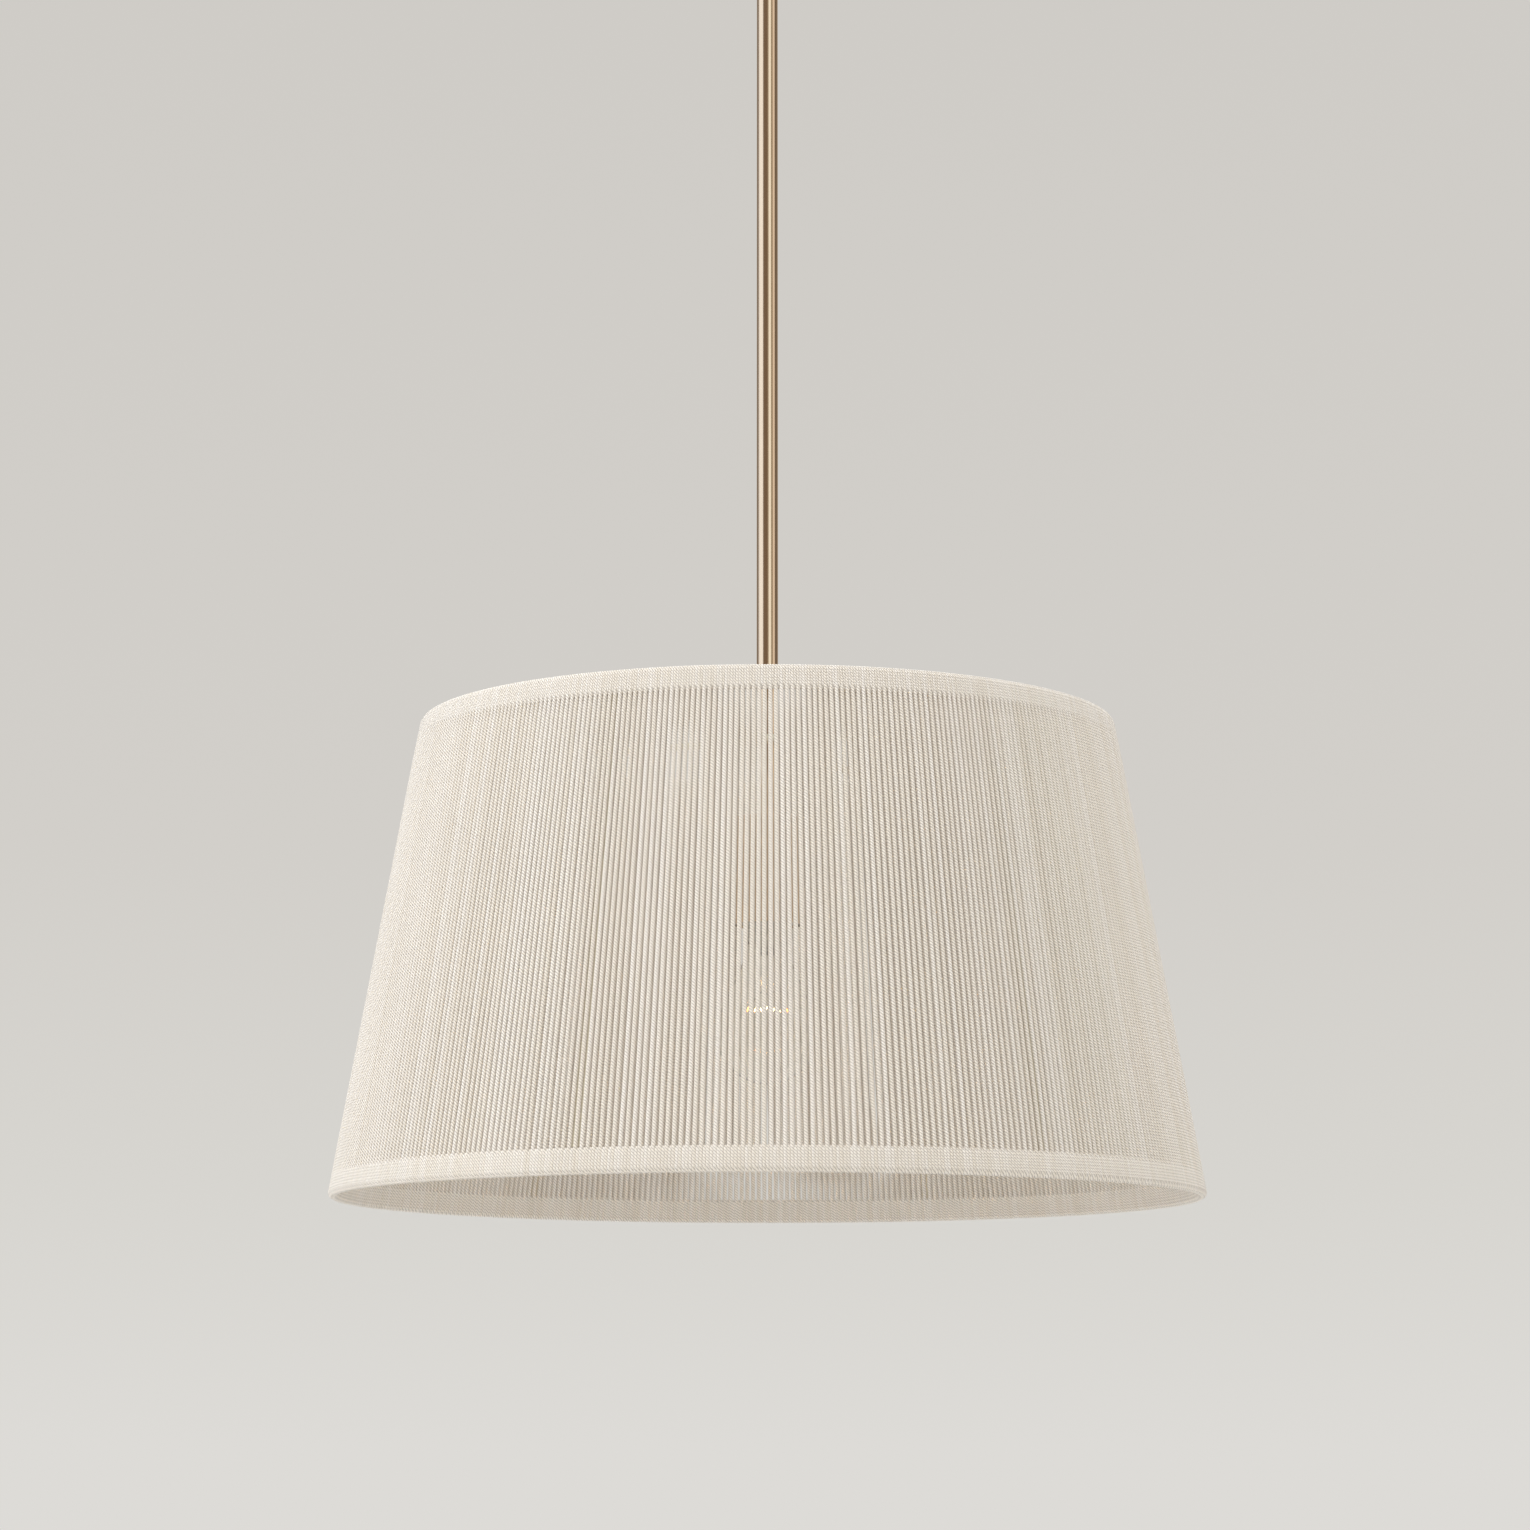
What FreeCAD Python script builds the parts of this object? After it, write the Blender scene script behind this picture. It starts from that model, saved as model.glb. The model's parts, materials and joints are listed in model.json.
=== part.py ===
import FreeCAD, Part
import math
import os
import Sketcher

# Hanging lantern: a tapered shade wound with cotton cord on a wire frame, carried by a tubular brass
# stem under a ceiling canopy. Millimetres, +Z up. The origin is the middle of the mounting bracket's
# top face, in the plane of the ceiling, so nearly everything lies below it.

DIMENSIONS = {
    # ceiling end
    "bracket_length": 114.0,
    "bracket_width": 22.0,
    "bracket_thickness": 1.8,
    "slot_spacing": 88.9,
    "slot_length": 16.0,
    "slot_width": 4.8,
    "stud_spacing": 60.0,
    "stud_dia": 4.2,
    "stud_tail": 6.0,
    "stud_nut_corner_dia": 9.2,
    "stud_nut_height": 3.2,
    "cap_nut_dia": 11.0,
    "cap_nut_skirt": 3.0,
    "cap_nut_ball_dia": 10.0,
    "cap_nut_bore_depth": 6.5,
    "ground_screw_offset": 16.0,
    "ground_head_dia": 8.0,
    "ground_head_height": 2.4,
    "ground_shank_rise": 5.6,
    "canopy_dia": 127.0,
    "canopy_depth": 25.4,
    "canopy_wall": 1.2,
    "canopy_edge_radius": 5.0,
    "canopy_flare": 2.0,
    "stud_hole_clearance": 0.6,
    "thread_clearance": 0.1,
    "slip_clearance": 0.15,
    # hang-straight swivel
    "collar_dia": 22.0,
    "collar_height": 8.0,
    "neck_dia": 12.7,
    "neck_length": 11.0,
    "locknut_dia": 21.0,
    "locknut_height": 5.0,
    "washer_dia": 25.0,
    "washer_thickness": 1.5,
    "turn_dia": 8.0,
    "running_gap": 0.06,
    "end_gap": 0.3,
    "lead_bore": 5.4,
    "stem_overrun": 3.0,
    "groove_depth": 0.5,
    "groove_width": 1.2,
    "retainer_thickness": 1.0,
    "retainer_width": 2.0,
    "yoke_thickness": 5.0,
    "fork_gap": 10.3,
    "ear_thickness": 4.0,
    "ear_width": 12.0,
    "pivot_offset": 8.5,
    "pivot_dia": 4.0,
    "pivot_head_dia": 7.0,
    "pivot_head_height": 2.0,
    "pivot_tip_depth": 1.9,
    "pivot_hole_depth": 2.2,
    "knuckle_thickness": 10.0,
    "knuckle_bore": 5.0,
    "shoulder_dia": 16.0,
    "shoulder_height": 3.0,
    "knuckle_reach": 10.2,
    "spigot_length": 12.0,
    # stem
    "rod_dia": 12.7,
    "rod_wall": 1.2,
    "upper_rod_length": 152.4,
    "lower_rod_length": 457.2,
    "nipple_dia": 10.0,
    "nipple_wall": 1.4,
    "nipple_engagement": 12.0,
    "coupling_length": 24.0,
    "seat_washer_dia": 18.0,
    "seat_washer_thickness": 1.5,
    "spacer_length": 44.9,
    # lampholder
    "husk_dia": 41.3,
    "husk_height": 63.5,
    "husk_wall": 0.8,
    "husk_shoulder_radius": 1.2,
    "strap_bush_height": 8.3,
    "strap_bush_corner_dia": 16.0,
    "strap_thickness": 1.5,
    "strap_height": 13.0,
    "strap_width": 12.0,
    "strap_span": 26.0,
    "strap_foot": 3.6,
    "strap_screw_dia": 3.4,
    "strap_screw_height": 1.6,
    "socket_dia": 37.0,
    "socket_bore": 28.8,
    "socket_bore_depth": 24.0,
    "socket_setback": 1.0,
    "recess_dia": 14.0,
    "recess_depth": 4.0,
    "shell_wall": 0.5,
    "shell_setback": 0.6,
    "shell_hole_dia": 15.0,
    "rivet_dia": 5.0,
    "contact_dia": 9.0,
    "contact_thickness": 0.8,
    "terminal_offset": 12.0,
    "terminal_dia": 6.4,
    "terminal_height": 2.0,
    # bulb
    "bulb_dia": 60.3,
    "bulb_length": 110.0,
    "bulb_seat": 16.5,
    "glass_wall": 0.8,
    "glass_neck_dia": 25.0,
    "cone_angle": 24.0,
    "neck_blend_radius": 18.0,
    "neck_in_cap": 3.0,
    "cap_height": 27.0,
    "cap_wall": 0.6,
    "cap_thread_dia": 26.4,
    "cap_rim_dia": 27.6,
    "cap_skirt": 4.0,
    "cap_shoulder": 5.0,
    "cap_mouth": 2.5,
    "thread_pitch": 3.63,
    "thread_crest": 1.1,
    "insulator_height": 3.6,
    "insulator_top_dia": 10.0,
    "stem_rise": 2.0,
    "stem_flange": 1.2,
    "stem_flare_dia": 8.0,
    "stem_flare_depth": 9.0,
    "stem_press_dia": 6.4,
    "stem_to_filament": 9.0,
    "support_dia": 0.7,
    "support_spacing": 4.0,
    "support_rise": 12.0,
    "filament_length": 24.0,
    "filament_dia": 1.4,
    "filament_height": 44.0,
    # shade
    "shade_bottom_dia": 509.0,
    "shade_top_dia": 409.0,
    "shade_height": 279.4,
    "cord_dia": 2.0,
    "wall_thickness": 6.0,
    "band_height": 15.4,
    "band_edge_radius": 2.8,
    "band_joint": 0.2,
    "spider_thickness": 3.0,
    "spider_inset": 7.5,
    "spider_hub_dia": 28.0,
    "arm_width": 6.0,
    "arm_setback": 0.4,
    "rib_width": 5.0,
    "rib_clearance": 0.1,
    # leads
    "lead_dia": 2.0,
    "connector_dia": 11.2,
    "connector_tip_dia": 8.0,
    "connector_length": 18.0,
}

ARM_COUNT = 4
RIB_COUNT = 6
THREAD_TURNS = 5
FRAME_TURN = -24.0
LEAD_SPREAD = 1.2
CONNECTOR_SPREAD = 22.0
CONNECTOR_MOUTH = -30.0
CONNECTOR_LEVEL = -13.0
THROUGH = "60"
LAP = "0.5"

doc = FreeCAD.newDocument("hanging_lantern")
parts = {}


def fill_sheet():
    """The driving dimensions, one row each: the name beside the number that carries it as alias."""
    table = doc.addObject("Spreadsheet::Sheet", "dims")
    for row, (name, value) in enumerate(DIMENSIONS.items(), start=1):
        table.set(f"A{row}", name)
        table.set(f"B{row}", str(value))
        table.setAlias(f"B{row}", name)
    doc.recompute()
    return table


sheet = fill_sheet()

# Levels, as formulas of the sheet, from the ceiling down.
CANOPY_FLOOR = "(-dims.canopy_depth)"
COLLAR_BOTTOM = f"({CANOPY_FLOOR} - dims.collar_height)"
NECK_TOP = f"({CANOPY_FLOOR} + dims.neck_length)"
YOKE_TOP = f"({COLLAR_BOTTOM} - dims.end_gap)"
YOKE_BOTTOM = f"({YOKE_TOP} - dims.yoke_thickness)"
PIVOT = f"({YOKE_BOTTOM} - dims.pivot_offset)"
ROD_TOP = f"({PIVOT} - dims.knuckle_reach)"
ROD_JOINT = f"({ROD_TOP} - dims.upper_rod_length)"
ROD_BOTTOM = f"({ROD_JOINT} - dims.lower_rod_length)"
HUB_TOP = f"({ROD_BOTTOM} - dims.seat_washer_thickness)"
HUB_BOTTOM = f"({HUB_TOP} - dims.spider_thickness)"
SHADE_BOTTOM = f"({HUB_TOP} + dims.spider_inset - dims.shade_height)"
HUSK_TOP = f"({HUB_BOTTOM} - dims.spacer_length)"
HUSK_BOTTOM = f"({HUSK_TOP} - dims.husk_height)"
STRAP_TOP = f"({HUSK_TOP} - dims.husk_wall - dims.strap_bush_height)"
SOCKET_TOP = f"({STRAP_TOP} - dims.strap_height)"
BULB_TIP = f"({HUSK_BOTTOM} + dims.bulb_seat)"
CAP_RIM = f"({BULB_TIP} - dims.cap_height)"
BULB_BOTTOM = f"({BULB_TIP} - dims.bulb_length)"
FILAMENT = f"({BULB_BOTTOM} + dims.filament_height)"

ROD_BORE = "(dims.rod_dia / 2 - dims.rod_wall)"
STEM_RADIUS = "(dims.turn_dia / 2)"
GROOVE_RADIUS = f"({STEM_RADIUS} - dims.groove_depth)"
LEAN = "atan((dims.shade_bottom_dia - dims.shade_top_dia) / 2 / dims.shade_height)"
SLANT = f"(dims.shade_height / cos({LEAN}))"


def value(formula):
    """The number that a formula of the sheet gives now."""
    return float(sheet.evalExpression(str(formula)))


def keep(name, item, level=None):
    """Registers a finished sub-part under its node name, at its level below the ceiling."""
    item.Label = name
    if level is not None:
        item.setExpression("Placement.Base.z", level)
    parts[name] = item
    return item


def outline_sketch(body, role, corners, name):
    """A closed straight-sided sketch whose every corner is held to a pair of formulas."""
    sketch = body.newObject("Sketcher::SketchObject", name)
    plane = next(item for item in body.Origin.OriginFeatures if item.Role == role)
    sketch.AttachmentSupport = [(plane, "")]
    sketch.MapMode = "FlatFace"
    points = [FreeCAD.Vector(value(x), value(y), 0) for x, y in corners]
    count = len(points)
    for index in range(count):
        sketch.addGeometry(Part.LineSegment(points[index], points[(index + 1) % count]), False)
    for index in range(count):
        sketch.addConstraint(Sketcher.Constraint("Coincident", index, 2, (index + 1) % count, 1))
    for index, corner in enumerate(corners):
        for kind, formula, number in zip(("DistanceX", "DistanceY"), corner, points[index]):
            entry = sketch.addConstraint(Sketcher.Constraint(kind, index, 1, number))
            sketch.setExpression(f"Constraints[{entry}]", str(formula))
    return sketch


def circle_sketch(body, centres, diameter, name):
    """Circles of one diameter on the body's XY plane, each centre a pair of formulas."""
    sketch = body.newObject("Sketcher::SketchObject", name)
    plane = next(item for item in body.Origin.OriginFeatures if item.Role == "XY_Plane")
    sketch.AttachmentSupport = [(plane, "")]
    sketch.MapMode = "FlatFace"
    up = FreeCAD.Vector(0, 0, 1)
    for index, (x, y) in enumerate(centres):
        centre = FreeCAD.Vector(value(x), value(y), 0)
        sketch.addGeometry(Part.Circle(centre, up, value(diameter) / 2), False)
        for kind, formula, number in (("DistanceX", x, centre.x), ("DistanceY", y, centre.y)):
            entry = sketch.addConstraint(Sketcher.Constraint(kind, index, 3, number))
            sketch.setExpression(f"Constraints[{entry}]", str(formula))
        entry = sketch.addConstraint(Sketcher.Constraint("Diameter", index, value(diameter)))
        sketch.setExpression(f"Constraints[{entry}]", str(diameter))
    return sketch


def turned_blank(name, corners):
    """A body turned about Z from an outline of (radius, height) formulas, as a building piece."""
    body = doc.addObject("PartDesign::Body", name)
    sketch = outline_sketch(body, "XZ_Plane", corners, name + "_outline")
    turn = body.newObject("PartDesign::Revolution", name + "_turn")
    turn.Profile = sketch
    turn.ReferenceAxis = (sketch, ["V_Axis"])
    turn.Angle = 360
    return body


def turned(name, corners, level):
    """A turned sub-part, at its level."""
    return keep(name, turned_blank(name, corners), level)


def ring(name, inner_radius, outer_radius, height, level):
    """A plain turned ring or tube that hangs down from its level."""
    corners = ((inner_radius, 0), (outer_radius, 0), (outer_radius, f"-({height})"),
               (inner_radius, f"-({height})"))
    return turned(name, corners, level)


def cut_through(body, sketch, name):
    """Pockets the sketch through the whole body, both ways, and makes sure that it cut."""
    doc.recompute()
    before = body.Shape.Volume
    pocket = body.newObject("PartDesign::Pocket", name)
    pocket.Profile = sketch
    pocket.SideType = "Symmetric"
    pocket.Type = "ThroughAll"
    doc.recompute()
    if body.Shape.Volume >= before - 0.01:
        raise RuntimeError(f"{name} cut nothing")


def circular_edges(shape):
    """The number, radius and centre height of each round edge of a shape."""
    for index, edge in enumerate(shape.Edges, start=1):
        if not edge.Degenerated and isinstance(edge.Curve, Part.Circle):
            yield index, edge.Curve.Radius, edge.Curve.Center.z


def round_edges(body, radius, chosen, name):
    """Fillets the circular edges that the test picks by radius and height."""
    doc.recompute()
    tip = body.Tip
    edges = [f"Edge{index}" for index, rim, level in circular_edges(tip.Shape)
             if chosen(rim, level)]
    if not edges:
        raise RuntimeError(f"{name} found no edge")
    fillet = body.newObject("PartDesign::Fillet", name)
    fillet.Base = (tip, edges)
    fillet.setExpression("Radius", radius)


def cylinder(name, diameter, height, x="0", y="0", z="0"):
    """An upright round bar bound to formulas, used as a building piece."""
    bar = doc.addObject("Part::Cylinder", name)
    bar.setExpression("Radius", f"({diameter}) / 2")
    bar.setExpression("Height", height)
    for axis, formula in zip("xyz", (x, y, z)):
        bar.setExpression(f"Placement.Base.{axis}", formula)
    return bar


def box(name, length, width, height, x, y, z):
    """A box centred on x and y, standing on z, bound to formulas."""
    block = doc.addObject("Part::Box", name)
    block.setExpression("Length", length)
    block.setExpression("Width", width)
    block.setExpression("Height", height)
    block.setExpression("Placement.Base.x", f"{x} - ({length}) / 2")
    block.setExpression("Placement.Base.y", f"{y} - ({width}) / 2")
    block.setExpression("Placement.Base.z", z)
    return block


def cross_bar(name, diameter, length, start_y, sign, z):
    """A round bar along Y from start_y outward, to the side that sign names."""
    bar = doc.addObject("Part::Cylinder", name)
    bar.setExpression("Radius", f"({diameter}) / 2")
    bar.setExpression("Height", length)
    bar.Placement.Rotation = FreeCAD.Rotation(FreeCAD.Vector(1, 0, 0), -90 * sign)
    bar.setExpression("Placement.Base.y", f"{sign} * ({start_y})")
    bar.setExpression("Placement.Base.z", z)
    return bar


def hexagon_bar(name, corner_dia, height, x, z):
    """An upright hexagonal bar centred on x, standing on z, bound to formulas."""
    bar = doc.addObject("Part::Prism", name)
    bar.Polygon = 6
    bar.setExpression("Circumradius", f"({corner_dia}) / 2")
    bar.setExpression("Height", height)
    bar.setExpression("Placement.Base.x", x)
    bar.setExpression("Placement.Base.z", z)
    return bar


def fuse(name, items):
    joined = doc.addObject("Part::MultiFuse", name)
    joined.Shapes = items
    joined.Refine = True
    return joined


def cut(name, base, tool):
    result = doc.addObject("Part::Cut", name)
    result.Base = base
    result.Tool = tool
    return result


def group(name, items):
    """Identical fasteners that share one node as separate solids."""
    several = doc.addObject("Part::Compound", name)
    several.Links = items
    return keep(name, several)


def rounded_path(points):
    """Straight runs joined by tangent arcs, each arc as large as its two runs allow."""
    points = [FreeCAD.Vector(*point) for point in points]
    edges = []
    start = points[0]
    radii = []
    for before, corner, after in zip(points, points[1:], points[2:]):
        incoming = (corner - before)
        outgoing = (after - corner)
        turn = incoming.getAngle(outgoing)
        setback = 0.45 * min(incoming.Length, outgoing.Length)
        radii.append(setback / math.tan(turn / 2))
        incoming.normalize()
        outgoing.normalize()
        entry = corner - incoming * setback
        leave = corner + outgoing * setback
        bisector = (outgoing - incoming).normalize()
        centre_distance = radii[-1] / math.cos(turn / 2)
        middle = corner + bisector * (centre_distance - radii[-1])
        edges.append(Part.LineSegment(start, entry).toShape())
        edges.append(Part.Arc(entry, middle, leave).toShape())
        start = leave
    edges.append(Part.LineSegment(start, points[-1]).toShape())
    return Part.Wire(edges), radii


def lead_shape(points):
    """One insulated conductor along its route."""
    spine, radii = rounded_path(points)
    radius = value("dims.lead_dia") / 2
    direction = FreeCAD.Vector(*points[1]) - FreeCAD.Vector(*points[0])
    section = Part.Wire(Part.Circle(FreeCAD.Vector(*points[0]), direction, radius).toShape())
    tube = spine.makePipeShell([section], True, True)
    expected = math.pi * radius ** 2 * spine.Length
    if abs(tube.Volume - expected) > 0.02 * expected:
        raise RuntimeError(f"lead volume {tube.Volume:.1f}, expected {expected:.1f}")
    if radii:
        print(f"lead {spine.Length:.1f} long, radii", " ".join(f"{item:.1f}" for item in radii))
    return tube


def lead(name, points):
    """A conductor as a sub-part of its own."""
    item = doc.addObject("Part::Feature", name)
    item.Shape = lead_shape(points)
    item.Placement = FreeCAD.Placement()
    return keep(name, item)


# ---------------------------------------------------------------- ceiling bracket and canopy

def make_bracket():
    """A flat steel strip with two slots for the outlet box and tapped holes for studs and ground."""
    body = doc.addObject("PartDesign::Body", "mounting_bracket")
    half = "dims.bracket_length / 2"
    side = "dims.bracket_width / 2"
    corners = ((f"-{half}", f"-{side}"), (half, f"-{side}"), (half, side), (f"-{half}", side))
    sketch = outline_sketch(body, "XY_Plane", corners, "bracket_outline")
    pad = body.newObject("PartDesign::Pad", "bracket_plate")
    pad.Profile = sketch
    pad.Reversed = True
    pad.setExpression("Length", "dims.bracket_thickness")
    stud = "dims.stud_spacing / 2"
    holes = circle_sketch(body, ((stud, "0"), (f"-{stud}", "0"), ("dims.ground_screw_offset", "0")),
                          "dims.stud_dia + dims.thread_clearance", "tapped_holes")
    cut_through(body, holes, "tapped_hole_cut")
    middle = "dims.slot_spacing / 2"
    run = "(dims.slot_length - dims.slot_width) / 2"
    for sign, side_name in ((1, "right"), (-1, "left")):
        ends = ((f"{sign} * {middle} - {run}", "0"), (f"{sign} * {middle} + {run}", "0"))
        for index, end in enumerate(ends):
            sketch = circle_sketch(body, (end,), "dims.slot_width", f"slot_{side_name}_end_{index}")
            cut_through(body, sketch, f"slot_{side_name}_end_cut_{index}")
        low = f"{sign} * {middle} - {run}"
        high = f"{sign} * {middle} + {run}"
        wide = "dims.slot_width / 2"
        corners = ((low, f"-{wide}"), (high, f"-{wide}"), (high, wide), (low, wide))
        sketch = outline_sketch(body, "XY_Plane", corners, f"slot_{side_name}_run")
        cut_through(body, sketch, f"slot_{side_name}_run_cut")
    keep("mounting_bracket", body)


def make_ground_screw():
    """Washer-head screw under the bracket, for the earth wire."""
    underside = "-dims.bracket_thickness"
    head = cylinder("ground_screw_head", "dims.ground_head_dia", "dims.ground_head_height",
                    "dims.ground_screw_offset", "0", f"{underside} - dims.ground_head_height")
    shank = cylinder("ground_screw_shank", "dims.stud_dia",
                     f"dims.bracket_thickness + dims.ground_shank_rise + {LAP}",
                     "dims.ground_screw_offset", "0", f"{underside} - {LAP}")
    keep("ground_screw", fuse("ground_screw", [head, shank]))


def make_canopy_fasteners():
    """Two threaded studs, the hex nuts that lock them, and the cap nuts that hold the canopy."""
    studs = []
    nuts = []
    caps = []
    for sign, side in ((1, "right"), (-1, "left")):
        x = f"{sign} * dims.stud_spacing / 2"
        studs.append(cylinder(f"stud_{side}", "dims.stud_dia", "dims.canopy_depth + dims.stud_tail",
                              x, "0", "-dims.canopy_depth - dims.stud_tail"))
        nut_bottom = "-dims.bracket_thickness - dims.stud_nut_height"
        hexagon = hexagon_bar(f"stud_nut_{side}_blank", "dims.stud_nut_corner_dia",
                              "dims.stud_nut_height", x, nut_bottom)
        bore = cylinder(f"stud_nut_{side}_bore", "dims.stud_dia + dims.thread_clearance",
                        "dims.stud_nut_height * 3", x, "0", f"{nut_bottom} - dims.stud_nut_height")
        nuts.append(cut(f"stud_nut_{side}", hexagon, bore))
        label = f"cap_nut_{side}"
        skirt = cylinder(label + "_skirt", "dims.cap_nut_dia", "dims.cap_nut_skirt", x, "0",
                         f"{CANOPY_FLOOR} - dims.cap_nut_skirt")
        ball = doc.addObject("Part::Sphere", label + "_ball")
        ball.setExpression("Radius", "dims.cap_nut_ball_dia / 2")
        ball.setExpression("Placement.Base.x", x)
        ball.setExpression("Placement.Base.z", f"{CANOPY_FLOOR} - dims.cap_nut_ball_dia / 2")
        bore = cylinder(label + "_bore", "dims.stud_dia + dims.thread_clearance",
                        f"dims.cap_nut_bore_depth + {LAP}", x, "0",
                        f"{CANOPY_FLOOR} - dims.cap_nut_bore_depth")
        caps.append(cut(label, fuse(label + "_blank", [skirt, ball]), bore))
    group("canopy_studs", studs)
    group("stud_nuts", nuts)
    group("cap_nuts", caps)


def make_canopy():
    """A spun dish, open to the ceiling, with a middle hole for the swivel and two for the studs."""
    outer = "dims.canopy_dia / 2"
    floor_radius = f"({outer} - dims.canopy_flare)"
    inner = f"({outer} - dims.canopy_wall)"
    inner_floor = f"({floor_radius} - dims.canopy_wall)"
    hole = "(dims.neck_dia / 2 + dims.slip_clearance)"
    depth = "-dims.canopy_depth"
    floor = "(-dims.canopy_depth + dims.canopy_wall)"
    body = turned("canopy", ((hole, depth), (floor_radius, depth), (outer, 0), (inner, 0),
                             (inner_floor, floor), (hole, floor)), "0")
    edge = value(floor_radius)
    wall = value("dims.canopy_wall")
    low = value(depth)
    round_edges(body, "dims.canopy_edge_radius",
                lambda radius, height: abs(radius - edge) < 0.1 and abs(height - low) < 0.1,
                "canopy_outer_bend")
    round_edges(body, "dims.canopy_edge_radius - dims.canopy_wall",
                lambda radius, height: abs(radius - edge + wall) < 0.1
                and abs(height - low - wall) < 0.1, "canopy_inner_bend")
    stud = "dims.stud_spacing / 2"
    holes = circle_sketch(body, ((stud, "0"), (f"-{stud}", "0")), 
                          "dims.stud_dia + dims.stud_hole_clearance", "canopy_stud_holes")
    cut_through(body, holes, "canopy_stud_cut")


# ---------------------------------------------------------------- hang-straight swivel

def make_collar():
    """Fixed half of the swivel: a collar under the canopy and a neck through its middle hole."""
    bore = f"({STEM_RADIUS} + dims.running_gap)"
    collar = "dims.collar_dia / 2"
    neck = "dims.neck_dia / 2"
    corners = ((bore, "dims.neck_length"), (neck, "dims.neck_length"), (neck, 0), (collar, 0),
               (collar, "-dims.collar_height"), (bore, "-dims.collar_height"))
    turned("swivel_collar", corners, CANOPY_FLOOR)
    floor = f"({CANOPY_FLOOR} + dims.canopy_wall)"
    washer_top = f"({floor} + dims.washer_thickness)"
    ring("swivel_washer", "(dims.neck_dia / 2 + dims.thread_clearance)", "dims.washer_dia / 2",
         "dims.washer_thickness", washer_top)
    blank = hexagon_bar("locknut_blank", "dims.locknut_dia", "dims.locknut_height", "0", washer_top)
    bore_tool = cylinder("locknut_bore", "dims.neck_dia + dims.thread_clearance",
                         "dims.locknut_height * 3", "0", "0", f"{washer_top} - dims.locknut_height")
    keep("swivel_locknut", cut("swivel_locknut", blank, bore_tool))


def make_yoke():
    """Turning half: a hollow stem in the collar, a plate under it and two ears with pivot holes."""
    neck_rise = "(dims.neck_length + dims.collar_height + dims.end_gap)"
    top = f"({neck_rise} + dims.stem_overrun)"
    groove_low = f"({neck_rise} + dims.end_gap - dims.thread_clearance)"
    groove_high = f"({groove_low} + dims.groove_width)"
    bore = "dims.lead_bore / 2"
    plate = "dims.collar_dia / 2"
    corners = ((bore, top), (STEM_RADIUS, top), (STEM_RADIUS, groove_high),
               (GROOVE_RADIUS, groove_high), (GROOVE_RADIUS, groove_low),
               (STEM_RADIUS, groove_low), (STEM_RADIUS, 0), (plate, 0),
               (plate, "-dims.yoke_thickness"), (bore, "-dims.yoke_thickness"))
    stem = turned_blank("yoke_stem", corners)
    pieces = [stem]
    reach = "dims.yoke_thickness + dims.pivot_offset"
    for sign, side in ((1, "back"), (-1, "front")):
        middle = f"{sign} * (dims.fork_gap + dims.ear_thickness) / 2"
        pieces.append(box(f"ear_{side}_plate", "dims.ear_width", "dims.ear_thickness", f"{reach} - 1",
                          "0", middle, f"-({reach})"))
        pieces.append(cross_bar(f"ear_{side}_end", "dims.ear_width", "dims.ear_thickness",
                                "dims.fork_gap / 2", sign, f"-({reach})"))
    blank = fuse("yoke_blank", pieces)
    holes = [cross_bar(f"ear_hole_{side}", "dims.pivot_dia + dims.thread_clearance",
                       "dims.ear_thickness * 3", "dims.fork_gap / 2 - 1", sign, f"-({reach})")
             for sign, side in ((1, "back"), (-1, "front"))]
    keep("swivel_yoke", cut("swivel_yoke", blank, fuse("ear_holes", holes)), YOKE_TOP)
    ring("stem_retaining_ring", f"({GROOVE_RADIUS} + dims.thread_clearance / 2)",
         f"({STEM_RADIUS} + dims.retainer_width)", "dims.retainer_thickness",
         f"{NECK_TOP} + dims.end_gap + dims.retainer_thickness")
    screws = []
    ear_face = "(dims.fork_gap / 2 + dims.ear_thickness)"
    for sign, side in ((1, "back"), (-1, "front")):
        head = cross_bar(f"pivot_head_{side}", "dims.pivot_head_dia", "dims.pivot_head_height",
                         ear_face, sign, PIVOT)
        tip_start = "(dims.knuckle_thickness / 2 - dims.pivot_tip_depth)"
        shank = cross_bar(f"pivot_shank_{side}", "dims.pivot_dia", f"{ear_face} - {tip_start} + 1",
                          tip_start, sign, PIVOT)
        screws.append(fuse(f"pivot_screw_{side}", [head, shank]))
    group("pivot_screws", screws)


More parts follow.
